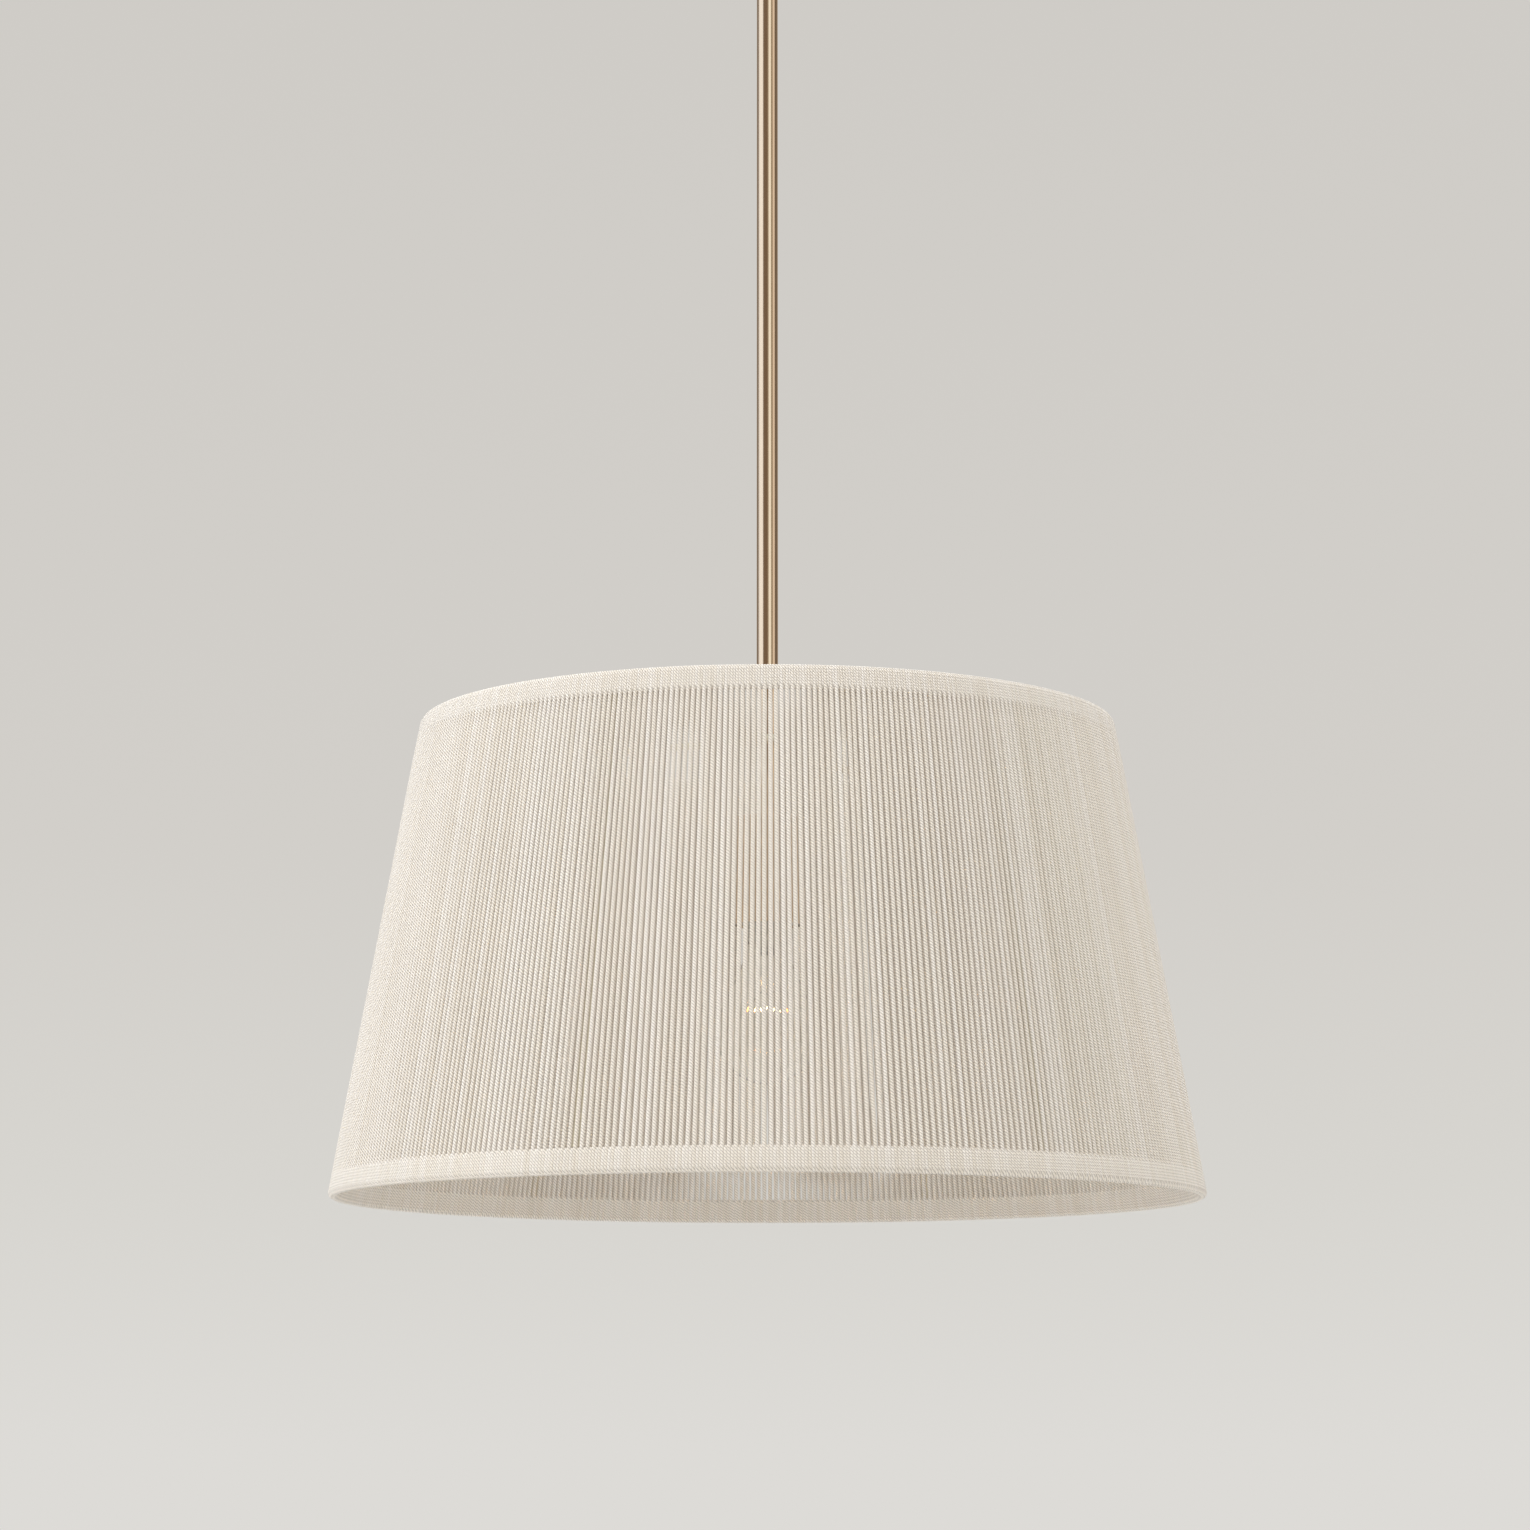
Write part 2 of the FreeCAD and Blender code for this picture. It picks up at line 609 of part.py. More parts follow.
def make_knuckle():
    """Tilting half: a block between the ears, a shoulder and a threaded spigot in the rod."""
    width = "dims.ear_width"
    drop = "dims.knuckle_reach"
    block = box("knuckle_block", width, "dims.knuckle_thickness", f"{drop} - 1", "0", "0",
                f"-({drop}) + 1")
    rounding = doc.addObject("Part::Cylinder", "knuckle_round")
    rounding.setExpression("Radius", f"{width} / 2")
    rounding.setExpression("Height", "dims.knuckle_thickness")
    rounding.Placement.Rotation = FreeCAD.Rotation(FreeCAD.Vector(1, 0, 0), 90)
    rounding.setExpression("Placement.Base.y", "dims.knuckle_thickness / 2")
    shoulder = cylinder("knuckle_shoulder", "dims.shoulder_dia", "dims.shoulder_height", "0", "0",
                        f"-({drop})")
    spigot = cylinder("knuckle_spigot", "dims.nipple_dia", f"dims.spigot_length + {LAP}", "0", "0",
                      f"-({drop}) - dims.spigot_length")
    blank = fuse("knuckle_blank", [block, rounding, shoulder, spigot])
    passage = cylinder("knuckle_passage", "dims.knuckle_bore", THROUGH, "0", "0", f"-{THROUGH} / 2")
    holes = [cross_bar(f"knuckle_hole_{side}", "dims.pivot_dia + 2 * dims.running_gap",
                       "dims.pivot_hole_depth * 2",
                       "dims.knuckle_thickness / 2 - dims.pivot_hole_depth", sign, "0")
             for sign, side in ((1, "back"), (-1, "front"))]
    tool = fuse("knuckle_cuts", [passage] + holes)
    keep("swivel_knuckle", cut("swivel_knuckle", blank, tool), PIVOT)


# ---------------------------------------------------------------- stem

def make_stem():
    """Two brass tubes, the nipple that joins them, and the nipple that carries the lampholder."""
    outer = "dims.rod_dia / 2"
    ring("upper_rod", ROD_BORE, outer, "dims.upper_rod_length", ROD_TOP)
    ring("lower_rod", ROD_BORE, outer, "dims.lower_rod_length", ROD_JOINT)
    nipple = "dims.nipple_dia / 2"
    nipple_bore = f"({nipple} - dims.nipple_wall)"
    ring("rod_coupling", nipple_bore, nipple, "dims.coupling_length",
         f"{ROD_JOINT} + dims.coupling_length / 2")
    ring("seat_washer", f"({nipple} + dims.thread_clearance)", "dims.seat_washer_dia / 2",
         "dims.seat_washer_thickness", ROD_BOTTOM)
    ring("spacer_tube", ROD_BORE, outer, "dims.spacer_length", HUB_BOTTOM)
    engaged = f"({ROD_BOTTOM} + dims.nipple_engagement)"
    ring("lampholder_nipple", nipple_bore, nipple, f"{engaged} - {STRAP_TOP}", engaged)


# ---------------------------------------------------------------- lampholder

def make_husk():
    """Brass cup over the lampholder, open at the bottom."""
    outer = "dims.husk_dia / 2"
    inner = f"({outer} - dims.husk_wall)"
    hole = "(dims.nipple_dia / 2 + dims.slip_clearance)"
    body = turned("husk", ((hole, 0), (outer, 0), (outer, "-dims.husk_height"),
                           (inner, "-dims.husk_height"), (inner, "-dims.husk_wall"),
                           (hole, "-dims.husk_wall")), HUSK_TOP)
    edge = value(outer)
    round_edges(body, "dims.husk_shoulder_radius",
                lambda radius, height: abs(radius - edge) < 0.01 and abs(height) < 0.01,
                "husk_shoulder")


def make_strap():
    """Steel strap with a threaded bush on top, its two feet screwed to the porcelain."""
    half = "dims.strap_span / 2"
    thick = "dims.strap_thickness"
    foot = f"({half} + dims.strap_foot)"
    low = "-dims.strap_height"
    corners = ((f"-{half}", 0), (half, 0), (half, f"{low} + {thick}"), (foot, f"{low} + {thick}"),
               (foot, low), (f"{half} - {thick}", low), (f"{half} - {thick}", f"-{thick}"),
               (f"-({half} - {thick})", f"-{thick}"), (f"-({half} - {thick})", low),
               (f"-{foot}", low), (f"-{foot}", f"{low} + {thick}"), (f"-{half}", f"{low} + {thick}"))
    body = doc.addObject("PartDesign::Body", "strap_band")
    sketch = outline_sketch(body, "XZ_Plane", corners, "strap_outline")
    pad = body.newObject("PartDesign::Pad", "strap_width_pad")
    pad.Profile = sketch
    pad.SideType = "Symmetric"
    pad.setExpression("Length", "dims.strap_width")
    bush = hexagon_bar("strap_bush", "dims.strap_bush_corner_dia", "dims.strap_bush_height", "0", "0")
    bore = cylinder("strap_bore", "dims.nipple_dia + dims.thread_clearance",
                    "dims.strap_bush_height * 3", "0", "0", "-dims.strap_bush_height")
    keep("socket_strap", cut("socket_strap", fuse("strap_blank", [body, bush]), bore), STRAP_TOP)


def make_socket():
    """Porcelain body with its screw shell, centre contact and terminal screws."""
    outer = "dims.socket_dia / 2"
    bore = "dims.socket_bore / 2"
    mouth = f"({HUSK_BOTTOM} + dims.socket_setback)"
    height = f"({SOCKET_TOP} - {mouth})"
    ceiling = f"(-{height} + dims.socket_bore_depth)"
    recess = "(dims.recess_dia / 2)"
    recess_top = f"({ceiling} + dims.recess_depth)"
    turned("socket_body", ((0, 0), (outer, 0), (outer, f"-{height}"), (bore, f"-{height}"),
                           (bore, ceiling), (recess, ceiling), (recess, recess_top),
                           (0, recess_top)), SOCKET_TOP)
    wall = "dims.shell_wall"
    hole = "(dims.shell_hole_dia / 2)"
    radius = f"({bore} - dims.thread_clearance)"
    depth = "(dims.socket_bore_depth - dims.shell_setback)"
    shell_top = f"({mouth} + dims.socket_bore_depth - dims.thread_clearance)"
    turned("screw_shell", ((hole, 0), (radius, 0), (radius, f"-{depth}"),
                           (f"{radius} - {wall}", f"-{depth}"), (f"{radius} - {wall}", f"-{wall}"),
                           (hole, f"-{wall}")), shell_top)
    button_level = f"({BULB_TIP} + dims.end_gap)"
    rivet_top = f"({mouth} + dims.socket_bore_depth + dims.recess_depth)"
    rivet = cylinder("contact_rivet", "dims.rivet_dia", f"{rivet_top} - {button_level}", "0", "0",
                     button_level)
    button = cylinder("contact_button", "dims.contact_dia", "dims.contact_thickness", "0", "0",
                      button_level)
    keep("centre_contact", fuse("centre_contact", [rivet, button]))
    terminals = [cylinder(f"terminal_{side}", "dims.terminal_dia", "dims.terminal_height", "0",
                          f"{sign} * dims.terminal_offset", SOCKET_TOP)
                 for sign, side in ((1, "back"), (-1, "front"))]
    group("terminal_screws", terminals)
    feet = [cylinder(f"strap_screw_{side}", "dims.strap_screw_dia", "dims.strap_screw_height",
                     f"{sign} * (dims.strap_span + dims.strap_foot) / 2", "0",
                     f"{SOCKET_TOP} + dims.strap_thickness") for sign, side in ((1, "right"), (-1, "left"))]
    group("strap_screws", feet)


# ---------------------------------------------------------------- bulb

def envelope_solid(name, inset):
    """Globe, cone and neck of the glass, all moved inwards by the inset."""
    globe_level = f"({BULB_BOTTOM} + dims.bulb_dia / 2)"
    radius = f"(dims.bulb_dia / 2 - {inset})"
    neck = f"(dims.glass_neck_dia / 2 - {inset})"
    slope = "dims.cone_angle * 1deg"
    globe = doc.addObject("Part::Sphere", name + "_globe")
    globe.setExpression("Radius", radius)
    globe.setExpression("Placement.Base.z", globe_level)
    touch_radius = f"({radius} * cos({slope}))"
    cone_height = f"(({touch_radius} - {neck}) / tan({slope}))"
    cone = doc.addObject("Part::Cone", name + "_cone")
    cone.setExpression("Radius1", touch_radius)
    cone.setExpression("Radius2", neck)
    cone.setExpression("Height", cone_height)
    cone.setExpression("Placement.Base.z", f"{globe_level} + {radius} * sin({slope})")
    neck_start = f"({globe_level} + {radius} * sin({slope}) + {cone_height} - {LAP})"
    bar = cylinder(name + "_neck", f"2 * {neck}", f"{CAP_RIM} + dims.neck_in_cap - {neck_start}", "0",
                   "0", neck_start)
    joined = fuse(name + "_blank", [globe, cone, bar])
    doc.recompute()
    bend = [index for index, rim, level in circular_edges(joined.Shape)
            if abs(rim - value(neck)) < 0.3 and abs(level - value(neck_start)) < 1.0]
    rounded = doc.addObject("Part::Fillet", name + "_solid")
    rounded.Base = joined
    blend = value("dims.neck_blend_radius")
    rounded.Edges = [(index, blend, blend) for index in bend]
    return rounded


def make_bulb():
    """Clear bulb: threaded cap, black glass insulator, tip contact, envelope, stem and filament."""
    outer = envelope_solid("envelope_outer", "0")
    inner = envelope_solid("envelope_inner", "dims.glass_wall")
    mouth = cylinder("envelope_mouth", "dims.glass_neck_dia - 2 * dims.glass_wall",
                     "2 * dims.neck_in_cap", "0", "0", f"{CAP_RIM} + {LAP}")
    keep("bulb_glass", cut("bulb_glass", outer, fuse("envelope_hollow", [inner, mouth])))

    wall = "dims.cap_wall"
    core = "(dims.cap_thread_dia / 2 - dims.thread_crest)"
    rim = "dims.cap_rim_dia / 2"
    mouth_level = "(dims.cap_height - dims.cap_mouth)"
    shoulder = "dims.cap_shoulder"
    skirt = "dims.cap_skirt"
    corners = ((f"{core} - {wall}", mouth_level), (core, mouth_level), (core, shoulder), (rim, skirt),
               (rim, 0), (f"{rim} - {wall}", 0), (f"{rim} - {wall}", f"{skirt} - {wall}"),
               (f"{core} - {wall}", f"{shoulder} - {wall}"))
    tube = turned_blank("cap_tube", corners)
    tube.setExpression("Placement.Base.z", CAP_RIM)
    threads = []
    for index in range(THREAD_TURNS):
        bead = doc.addObject("Part::Torus", f"cap_thread_{index}")
        bead.setExpression("Radius1", core)
        bead.setExpression("Radius2", "dims.thread_crest")
        bead.setExpression("Placement.Base.z", f"{CAP_RIM} + {mouth_level} + {wall}"
                           f" - ({THREAD_TURNS} - {index}) * dims.thread_pitch")
        threads.append(bead)
    hollow = cylinder("cap_hollow", f"2 * ({core} - {wall})", THROUGH, "0", "0", f"{CAP_RIM} - {LAP}")
    beads = cut("cap_thread_beads", fuse("cap_beads", threads), hollow)
    keep("bulb_cap", fuse("bulb_cap", [tube, beads]))

    insulator = doc.addObject("Part::Cone", "cap_insulator")
    insulator.setExpression("Radius1", f"{core} - {wall} - dims.thread_clearance / 2")
    insulator.setExpression("Radius2", "dims.insulator_top_dia / 2")
    insulator.setExpression("Height", "dims.insulator_height")
    insulator.setExpression("Placement.Base.z",
                            f"{BULB_TIP} - dims.contact_thickness - dims.insulator_height")
    keep("cap_insulator", insulator)
    keep("tip_contact", cylinder("tip_contact", "dims.contact_dia", "dims.contact_thickness", "0", "0",
                                 f"{BULB_TIP} - dims.contact_thickness"))

    neck_inside = "(dims.glass_neck_dia / 2 - dims.glass_wall - dims.thread_clearance)"
    stem_top = f"({CAP_RIM} + dims.stem_rise)"
    press = f"({stem_top} - {FILAMENT} - dims.stem_to_filament)"
    turned("glass_stem", ((0, 0), (neck_inside, 0), (neck_inside, "-dims.stem_flange"),
                          ("dims.stem_flare_dia / 2", "-dims.stem_flare_depth"),
                          ("dims.stem_press_dia / 2", f"-{press}"), (0, f"-{press}")), stem_top)
    wires = []
    for sign in (1, -1):
        start = FreeCAD.Vector(sign * value("dims.support_spacing / 2"), 0,
                               value(f"{FILAMENT} + dims.support_rise"))
        finish = FreeCAD.Vector(sign * value("dims.filament_length / 2"), 0, value(FILAMENT))
        run = finish - start
        wires.append(Part.makeCylinder(value("dims.support_dia / 2"), run.Length, start, run))
    supports = doc.addObject("Part::Feature", "filament_supports")
    supports.Shape = Part.makeCompound(wires)
    supports.Placement = FreeCAD.Placement()
    keep("filament_supports", supports)
    filament = doc.addObject("Part::Cylinder", "filament")
    filament.setExpression("Radius", "dims.filament_dia / 2")
    filament.setExpression("Height", "dims.filament_length")
    filament.Placement.Rotation = FreeCAD.Rotation(FreeCAD.Vector(0, 1, 0), 90)
    filament.setExpression("Placement.Base.x", "-dims.filament_length / 2")
    filament.setExpression("Placement.Base.z", FILAMENT)
    keep("filament", filament)


# ---------------------------------------------------------------- shade

def wall_point(along, inward):
    """A point of the shade's wall: along its slant from the bottom edge, and in from the outside."""
    radius = f"dims.shade_bottom_dia / 2 - ({along}) * sin({LEAN}) - ({inward}) * cos({LEAN})"
    height = f"({along}) * cos({LEAN}) - ({inward}) * sin({LEAN})"
    return radius, height


def wall_ring(name, start, finish, outside, inside):
    """A ring of the wall between two slant distances and two depths."""
    corners = (wall_point(start, outside), wall_point(start, inside), wall_point(finish, inside),
               wall_point(finish, outside))
    body = turned_blank(name, corners)
    body.setExpression("Placement.Base.z", SHADE_BOTTOM)
    return body


def joint_cuts(name):
    """Thin upright sheets at the ribs, where the lengths of cord in a band end."""
    sheets = []
    for index in range(RIB_COUNT):
        sheet_cut = doc.addObject("Part::Box", f"{name}_joint_{index + 1}")
        sheet_cut.setExpression("Length", "dims.shade_bottom_dia")
        sheet_cut.setExpression("Width", "dims.band_joint")
        sheet_cut.setExpression("Height", "2 * dims.shade_height")
        azimuth = FRAME_TURN - 90 + index * 360 / RIB_COUNT
        middle = FreeCAD.Placement(FreeCAD.Vector(0, -value("dims.band_joint") / 2,
                                                  value(f"{SHADE_BOTTOM} - dims.shade_height / 2")),
                                   FreeCAD.Rotation())
        around = FreeCAD.Placement(FreeCAD.Vector(), FreeCAD.Rotation(FreeCAD.Vector(0, 0, 1), azimuth))
        sheet_cut.Placement = around * middle
        sheets.append(sheet_cut)
    return fuse(f"{name}_joints", sheets)


def make_shade():
    """Two flat hoops, the cord wound close round each, and two layers of cord between them."""
    cord = "dims.cord_dia"
    thick = "dims.wall_thickness"
    core_inner = f"({thick} - {cord})"
    band = "dims.band_height"
    for name, low, high in (("bottom", "0", band), ("top", f"({SLANT} - {band})", SLANT)):
        inner_low = f"{low} + {cord}"
        inner_high = f"{high} - {cord}"
        keep(f"{name}_hoop", wall_ring(f"{name}_hoop", inner_low, inner_high, cord, core_inner))
        blank = wall_ring(f"{name}_band_blank", low, high, "0", thick)
        rims = [value(wall_point(edge, depth)[0]) for edge in (low, high) for depth in ("0", thick)]
        round_edges(blank, "dims.band_edge_radius", lambda radius, height: min(
            abs(radius - rim) for rim in rims) < 0.01, f"{name}_band_rounding")
        core = wall_ring(f"{name}_band_core", inner_low, inner_high, cord, core_inner)
        whole = cut(f"{name}_band_whole", blank, core)
        keep(f"{name}_band", cut(f"{name}_band", whole, joint_cuts(f"{name}_band")))
    for name, outside, inside in (("outer_cords", "0", cord), ("inner_cords", core_inner, thick)):
        keep(name, wall_ring(name, band, f"{SLANT} - {band}", outside, inside))


def make_ribs():
    """Flat bars between the hoops, in the gap between the two layers of cord."""
    low, height = (value(item) for item in wall_point("dims.band_height", "dims.wall_thickness / 2"))
    length = f"{SLANT} - 2 * dims.band_height"
    thickness = "dims.wall_thickness - 2 * dims.cord_dia - dims.rib_clearance"
    lean = math.degrees(value(LEAN + " / 1rad"))
    for index in range(RIB_COUNT):
        rib = doc.addObject("Part::Box", f"shade_rib_{index + 1}")
        rib.setExpression("Length", "dims.rib_width")
        rib.setExpression("Width", thickness)
        rib.setExpression("Height", length)
        width = value("dims.rib_width")
        depth = value(thickness)
        corner = FreeCAD.Placement(FreeCAD.Vector(-width / 2, -depth / 2, 0), FreeCAD.Rotation())
        tilt = FreeCAD.Placement(FreeCAD.Vector(0, -low, value(SHADE_BOTTOM) + height),
                                 FreeCAD.Rotation(FreeCAD.Vector(1, 0, 0), -lean))
        azimuth = FRAME_TURN + index * 360 / RIB_COUNT
        around = FreeCAD.Placement(FreeCAD.Vector(), FreeCAD.Rotation(FreeCAD.Vector(0, 0, 1), azimuth))
        rib.Placement = around * tilt * corner
        keep(f"shade_rib_{index + 1}", rib)


def make_spider():
    """Hub disc clamped under the stem and four straight arms out to the top hoop."""
    hub = "dims.spider_hub_dia / 2"
    ring("spider_hub", "(dims.nipple_dia / 2 + dims.slip_clearance)", hub, "dims.spider_thickness",
         HUB_TOP)
    inside = f"{SLANT} - (dims.spider_inset) / cos({LEAN})"
    hoop_face = wall_point(inside, "dims.wall_thickness - dims.cord_dia")[0]
    clear = cylinder("arm_root_cut", "dims.spider_hub_dia", THROUGH, "0", "0", f"-{THROUGH} / 2")
    for index in range(ARM_COUNT):
        bar = doc.addObject("Part::Box", f"arm_bar_{index + 1}")
        bar.setExpression("Length", f"{hoop_face} - dims.arm_setback")
        bar.setExpression("Width", "dims.arm_width")
        bar.setExpression("Height", "dims.spider_thickness")
        bar.setExpression("Placement.Base.y", "-dims.arm_width / 2")
        arm = cut(f"spider_arm_{index + 1}", bar, clear)
        turn = FRAME_TURN - 90 + index * 360 / ARM_COUNT
        arm.Placement.Rotation = FreeCAD.Rotation(FreeCAD.Vector(0, 0, 1), turn)
        keep(f"spider_arm_{index + 1}", arm, HUB_BOTTOM)


# ---------------------------------------------------------------- leads

def make_leads():
    """Two insulated conductors through the stem, split where the swivel turns and tilts."""
    bend_z = value(STRAP_TOP) - 4.5
    stem_top = value(f"{NECK_TOP} + 3.4")
    knuckle_top = value(PIVOT) + value("dims.ear_width") / 2
    terminal = value(SOCKET_TOP) + 1.2
    screw_edge = value("dims.terminal_offset - (dims.terminal_dia + dims.lead_dia) / 2")
    for name, side in (("line", -1), ("neutral", 1)):
        x = side * LEAD_SPREAD
        lead(f"{name}_lead", ((x, 0, knuckle_top), (x, 0, bend_z),
                              (x, side * screw_edge, terminal)))
        lead(f"{name}_lead_in_swivel", ((x, 0, value(YOKE_BOTTOM)), (x, 0, stem_top - 0.4)))
    rise = ((0, stem_top), (0, -7.4), (-3.2, -4.6))
    lead("line_lead_in_canopy", [(-LEAD_SPREAD, y, z) for y, z in rise] + [
        (-8.0, -10.0, -5.0), (-18.0, -17.5, -9.0), (-CONNECTOR_SPREAD, -23.5, CONNECTOR_LEVEL),
        (-CONNECTOR_SPREAD, CONNECTOR_MOUTH, CONNECTOR_LEVEL)])
    lead("neutral_lead_in_canopy", [(LEAD_SPREAD, y, z) for y, z in rise] + [
        (1.2, -10.0, -5.6), (0.6, -17.0, -9.5), (0.0, -23.5, CONNECTOR_LEVEL),
        (0.0, CONNECTOR_MOUTH, CONNECTOR_LEVEL)])
    screw_side = value("dims.ground_screw_offset") + 3.0
    lead("ground_lead", ((screw_side, -4.6, -3.6), (21.0, -10.0, -5.0), (22.5, -17.0, -9.0),
                         (CONNECTOR_SPREAD, -23.5, CONNECTOR_LEVEL),
                         (CONNECTOR_SPREAD, CONNECTOR_MOUTH, CONNECTOR_LEVEL)))
    caps = []
    for x, name in ((-CONNECTOR_SPREAD, "line"), (0.0, "neutral"), (CONNECTOR_SPREAD, "ground")):
        cap = doc.addObject("Part::Cone", f"connector_{name}")
        cap.setExpression("Radius1", "dims.connector_dia / 2")
        cap.setExpression("Radius2", "dims.connector_tip_dia / 2")
        cap.setExpression("Height", "dims.connector_length")
        cap.Placement = FreeCAD.Placement(FreeCAD.Vector(x, CONNECTOR_MOUTH, CONNECTOR_LEVEL),
                                          FreeCAD.Rotation(FreeCAD.Vector(1, 0, 0), 90))
        caps.append(cap)
    group("wire_connectors", caps)


# ---------------------------------------------------------------- build, check, write

def build_all():
    make_bracket()
    make_ground_screw()
    make_canopy_fasteners()
    make_canopy()
    make_collar()
    make_yoke()
    make_knuckle()
    make_stem()
    make_husk()
    make_strap()
    make_socket()
    make_bulb()
    make_shade()
    make_ribs()
    make_spider()
    make_leads()


def write_parts():
    """Recomputes, refuses any failed object or bad shape, and writes one file per sub-part."""
    doc.recompute()
    failed = [item.Name for item in doc.Objects if "Invalid" in item.State or "Error" in item.State]
    if failed:
        raise RuntimeError(f"failed objects: {failed}")
    for name, item in parts.items():
        if item.Shape.isNull() or not item.Shape.isValid() or item.Shape.Volume <= 0:
            raise RuntimeError(f"bad shape: {name}")
    os.makedirs("parts", exist_ok=True)
    for name, item in parts.items():
        item.Shape.exportStep(f"parts/{name}.step")
        size = item.Shape.BoundBox
        print(f"{name}: {len(item.Shape.Solids)} solid(s), {item.Shape.Volume:.0f} mm3, "
              f"z {size.ZMin:.1f} to {size.ZMax:.1f}")


build_all()
write_parts()
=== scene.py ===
"""A cord-wound drum pendant on a brass stem: its winding, its filament, its finishes and a plain studio."""

import json
import math
from functools import partial

import bpy
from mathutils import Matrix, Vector


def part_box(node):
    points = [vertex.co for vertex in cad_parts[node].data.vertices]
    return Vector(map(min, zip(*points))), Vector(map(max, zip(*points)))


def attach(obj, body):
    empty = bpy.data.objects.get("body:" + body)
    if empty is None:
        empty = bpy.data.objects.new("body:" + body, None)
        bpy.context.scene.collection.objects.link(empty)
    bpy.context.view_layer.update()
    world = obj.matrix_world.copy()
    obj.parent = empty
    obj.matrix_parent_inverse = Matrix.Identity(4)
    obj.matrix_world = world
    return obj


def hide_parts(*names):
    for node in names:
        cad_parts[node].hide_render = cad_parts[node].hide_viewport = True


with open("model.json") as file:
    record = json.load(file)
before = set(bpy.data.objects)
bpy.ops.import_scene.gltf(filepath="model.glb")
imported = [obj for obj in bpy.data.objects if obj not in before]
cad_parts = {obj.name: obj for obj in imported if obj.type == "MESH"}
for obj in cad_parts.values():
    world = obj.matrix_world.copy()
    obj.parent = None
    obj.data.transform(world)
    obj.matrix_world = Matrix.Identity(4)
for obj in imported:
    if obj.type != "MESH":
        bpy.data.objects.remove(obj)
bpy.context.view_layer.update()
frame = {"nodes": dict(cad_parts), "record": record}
SHADE_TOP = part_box("top_band")[1].z
SHADE_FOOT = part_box("bottom_band")[0].z
FILAMENT_LOW, FILAMENT_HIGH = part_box("filament")
GLASS_LOW, GLASS_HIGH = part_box("bulb_glass")

bl_info = {
    "name": "Cord-wound pendant",
    "version": (1, 0, 0),
    "blender": (4, 5, 0),
    "location": "View3D > Sidebar > Pendant",
    "description": "Winds the cord shade of a brass pendant, finishes each part and sets up its studio",
    "category": "Object",
}

MM = 0.001
HAIR = 0.02 * MM
MATH = "ShaderNodeMath"


# ---------------------------------------------------------------- colours, nodes and meshes

def linear(colour, alpha=1.0):
    """An sRGB hex colour such as "#c8b090" as the linear values that Blender's sockets take."""
    channels = [int(colour[i:i + 2], 16) / 255 for i in (1, 3, 5)]
    return (*[c / 12.92 if c <= 0.04045 else ((c + 0.055) / 1.055) ** 2.4 for c in channels], alpha)


def feed(node, inputs):
    """Gives sockets, by name or place, a value, another node's first output or a chosen output."""
    for key, value in inputs.items():
        if isinstance(value, bpy.types.Node):
            value = next(socket for socket in value.outputs if socket.enabled)
        if isinstance(value, bpy.types.NodeSocket):
            node.id_data.links.new(value, node.inputs[key])
        else:
            node.inputs[key].default_value = value


def add(tree, kind, inputs=None, stops=(), **settings):
    """One node with its settings, what feeds it and, for a colour ramp, its stops as (place, hex colour)."""
    node = tree.nodes.new(kind)
    for name, value in settings.items():
        setattr(node, name, value)
    for index, (place, colour) in enumerate(stops):
        elements = node.color_ramp.elements
        element = elements[index] if index < 2 else elements.new(place)
        element.position = place
        element.color = linear(colour)
    feed(node, inputs or {})
    return node


def finish_of(name, **sockets):
    """A material of that name, its principled shader with those sockets set, and a way to add nodes."""
    material = bpy.data.materials.new(name)
    material.use_nodes = True
    shader = material.node_tree.nodes["Principled BSDF"]
    feed(shader, {socket.replace("_", " "): value for socket, value in sockets.items()})
    return material, shader, partial(add, material.node_tree)


def mesh_object(name, vertices=(), edges=(), faces=()):
    """An object in the scene with a mesh of that name."""
    mesh = bpy.data.meshes.new(name)
    mesh.from_pydata(vertices, edges, faces)
    obj = bpy.data.objects.new(name, mesh)
    bpy.context.scene.collection.objects.link(obj)
    return obj


def group(name, inputs):
    """A geometry tree with named inputs, what it is given, and a way to add nodes to it."""
    tree = bpy.data.node_groups.new(name, "GeometryNodeTree")
    tree.interface.new_socket("Geometry", in_out="OUTPUT", socket_type="NodeSocketGeometry")
    tree.interface.new_socket("Geometry", in_out="INPUT", socket_type="NodeSocketGeometry")
    for title, kind, default in inputs:
        socket = tree.interface.new_socket(title, in_out="INPUT", socket_type=kind)
        if default is not None:
            socket.default_value = default
    return tree, add(tree, "NodeGroupInput").outputs, partial(add, tree)


def build(name, tree, start, values, body, nodes):
    """Runs a tree on a starting object; its plain mesh becomes the piece that stands for those nodes."""
    modifier = start.modifiers.new(name, "NODES")
    modifier.node_group = tree
    for item in tree.interface.items_tree:
        if item.in_out == "INPUT" and item.name in values:
            modifier[item.identifier] = values[item.name]
    seen = start.evaluated_get(bpy.context.evaluated_depsgraph_get())
    mesh = bpy.data.meshes.new_from_object(seen)
    bpy.data.objects.remove(start)
    mesh.name = name
    piece = bpy.data.objects.new(name, mesh)
    bpy.context.scene.collection.objects.link(piece)
    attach(piece, body)
    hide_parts(*nodes)


# ---------------------------------------------------------------- finishes

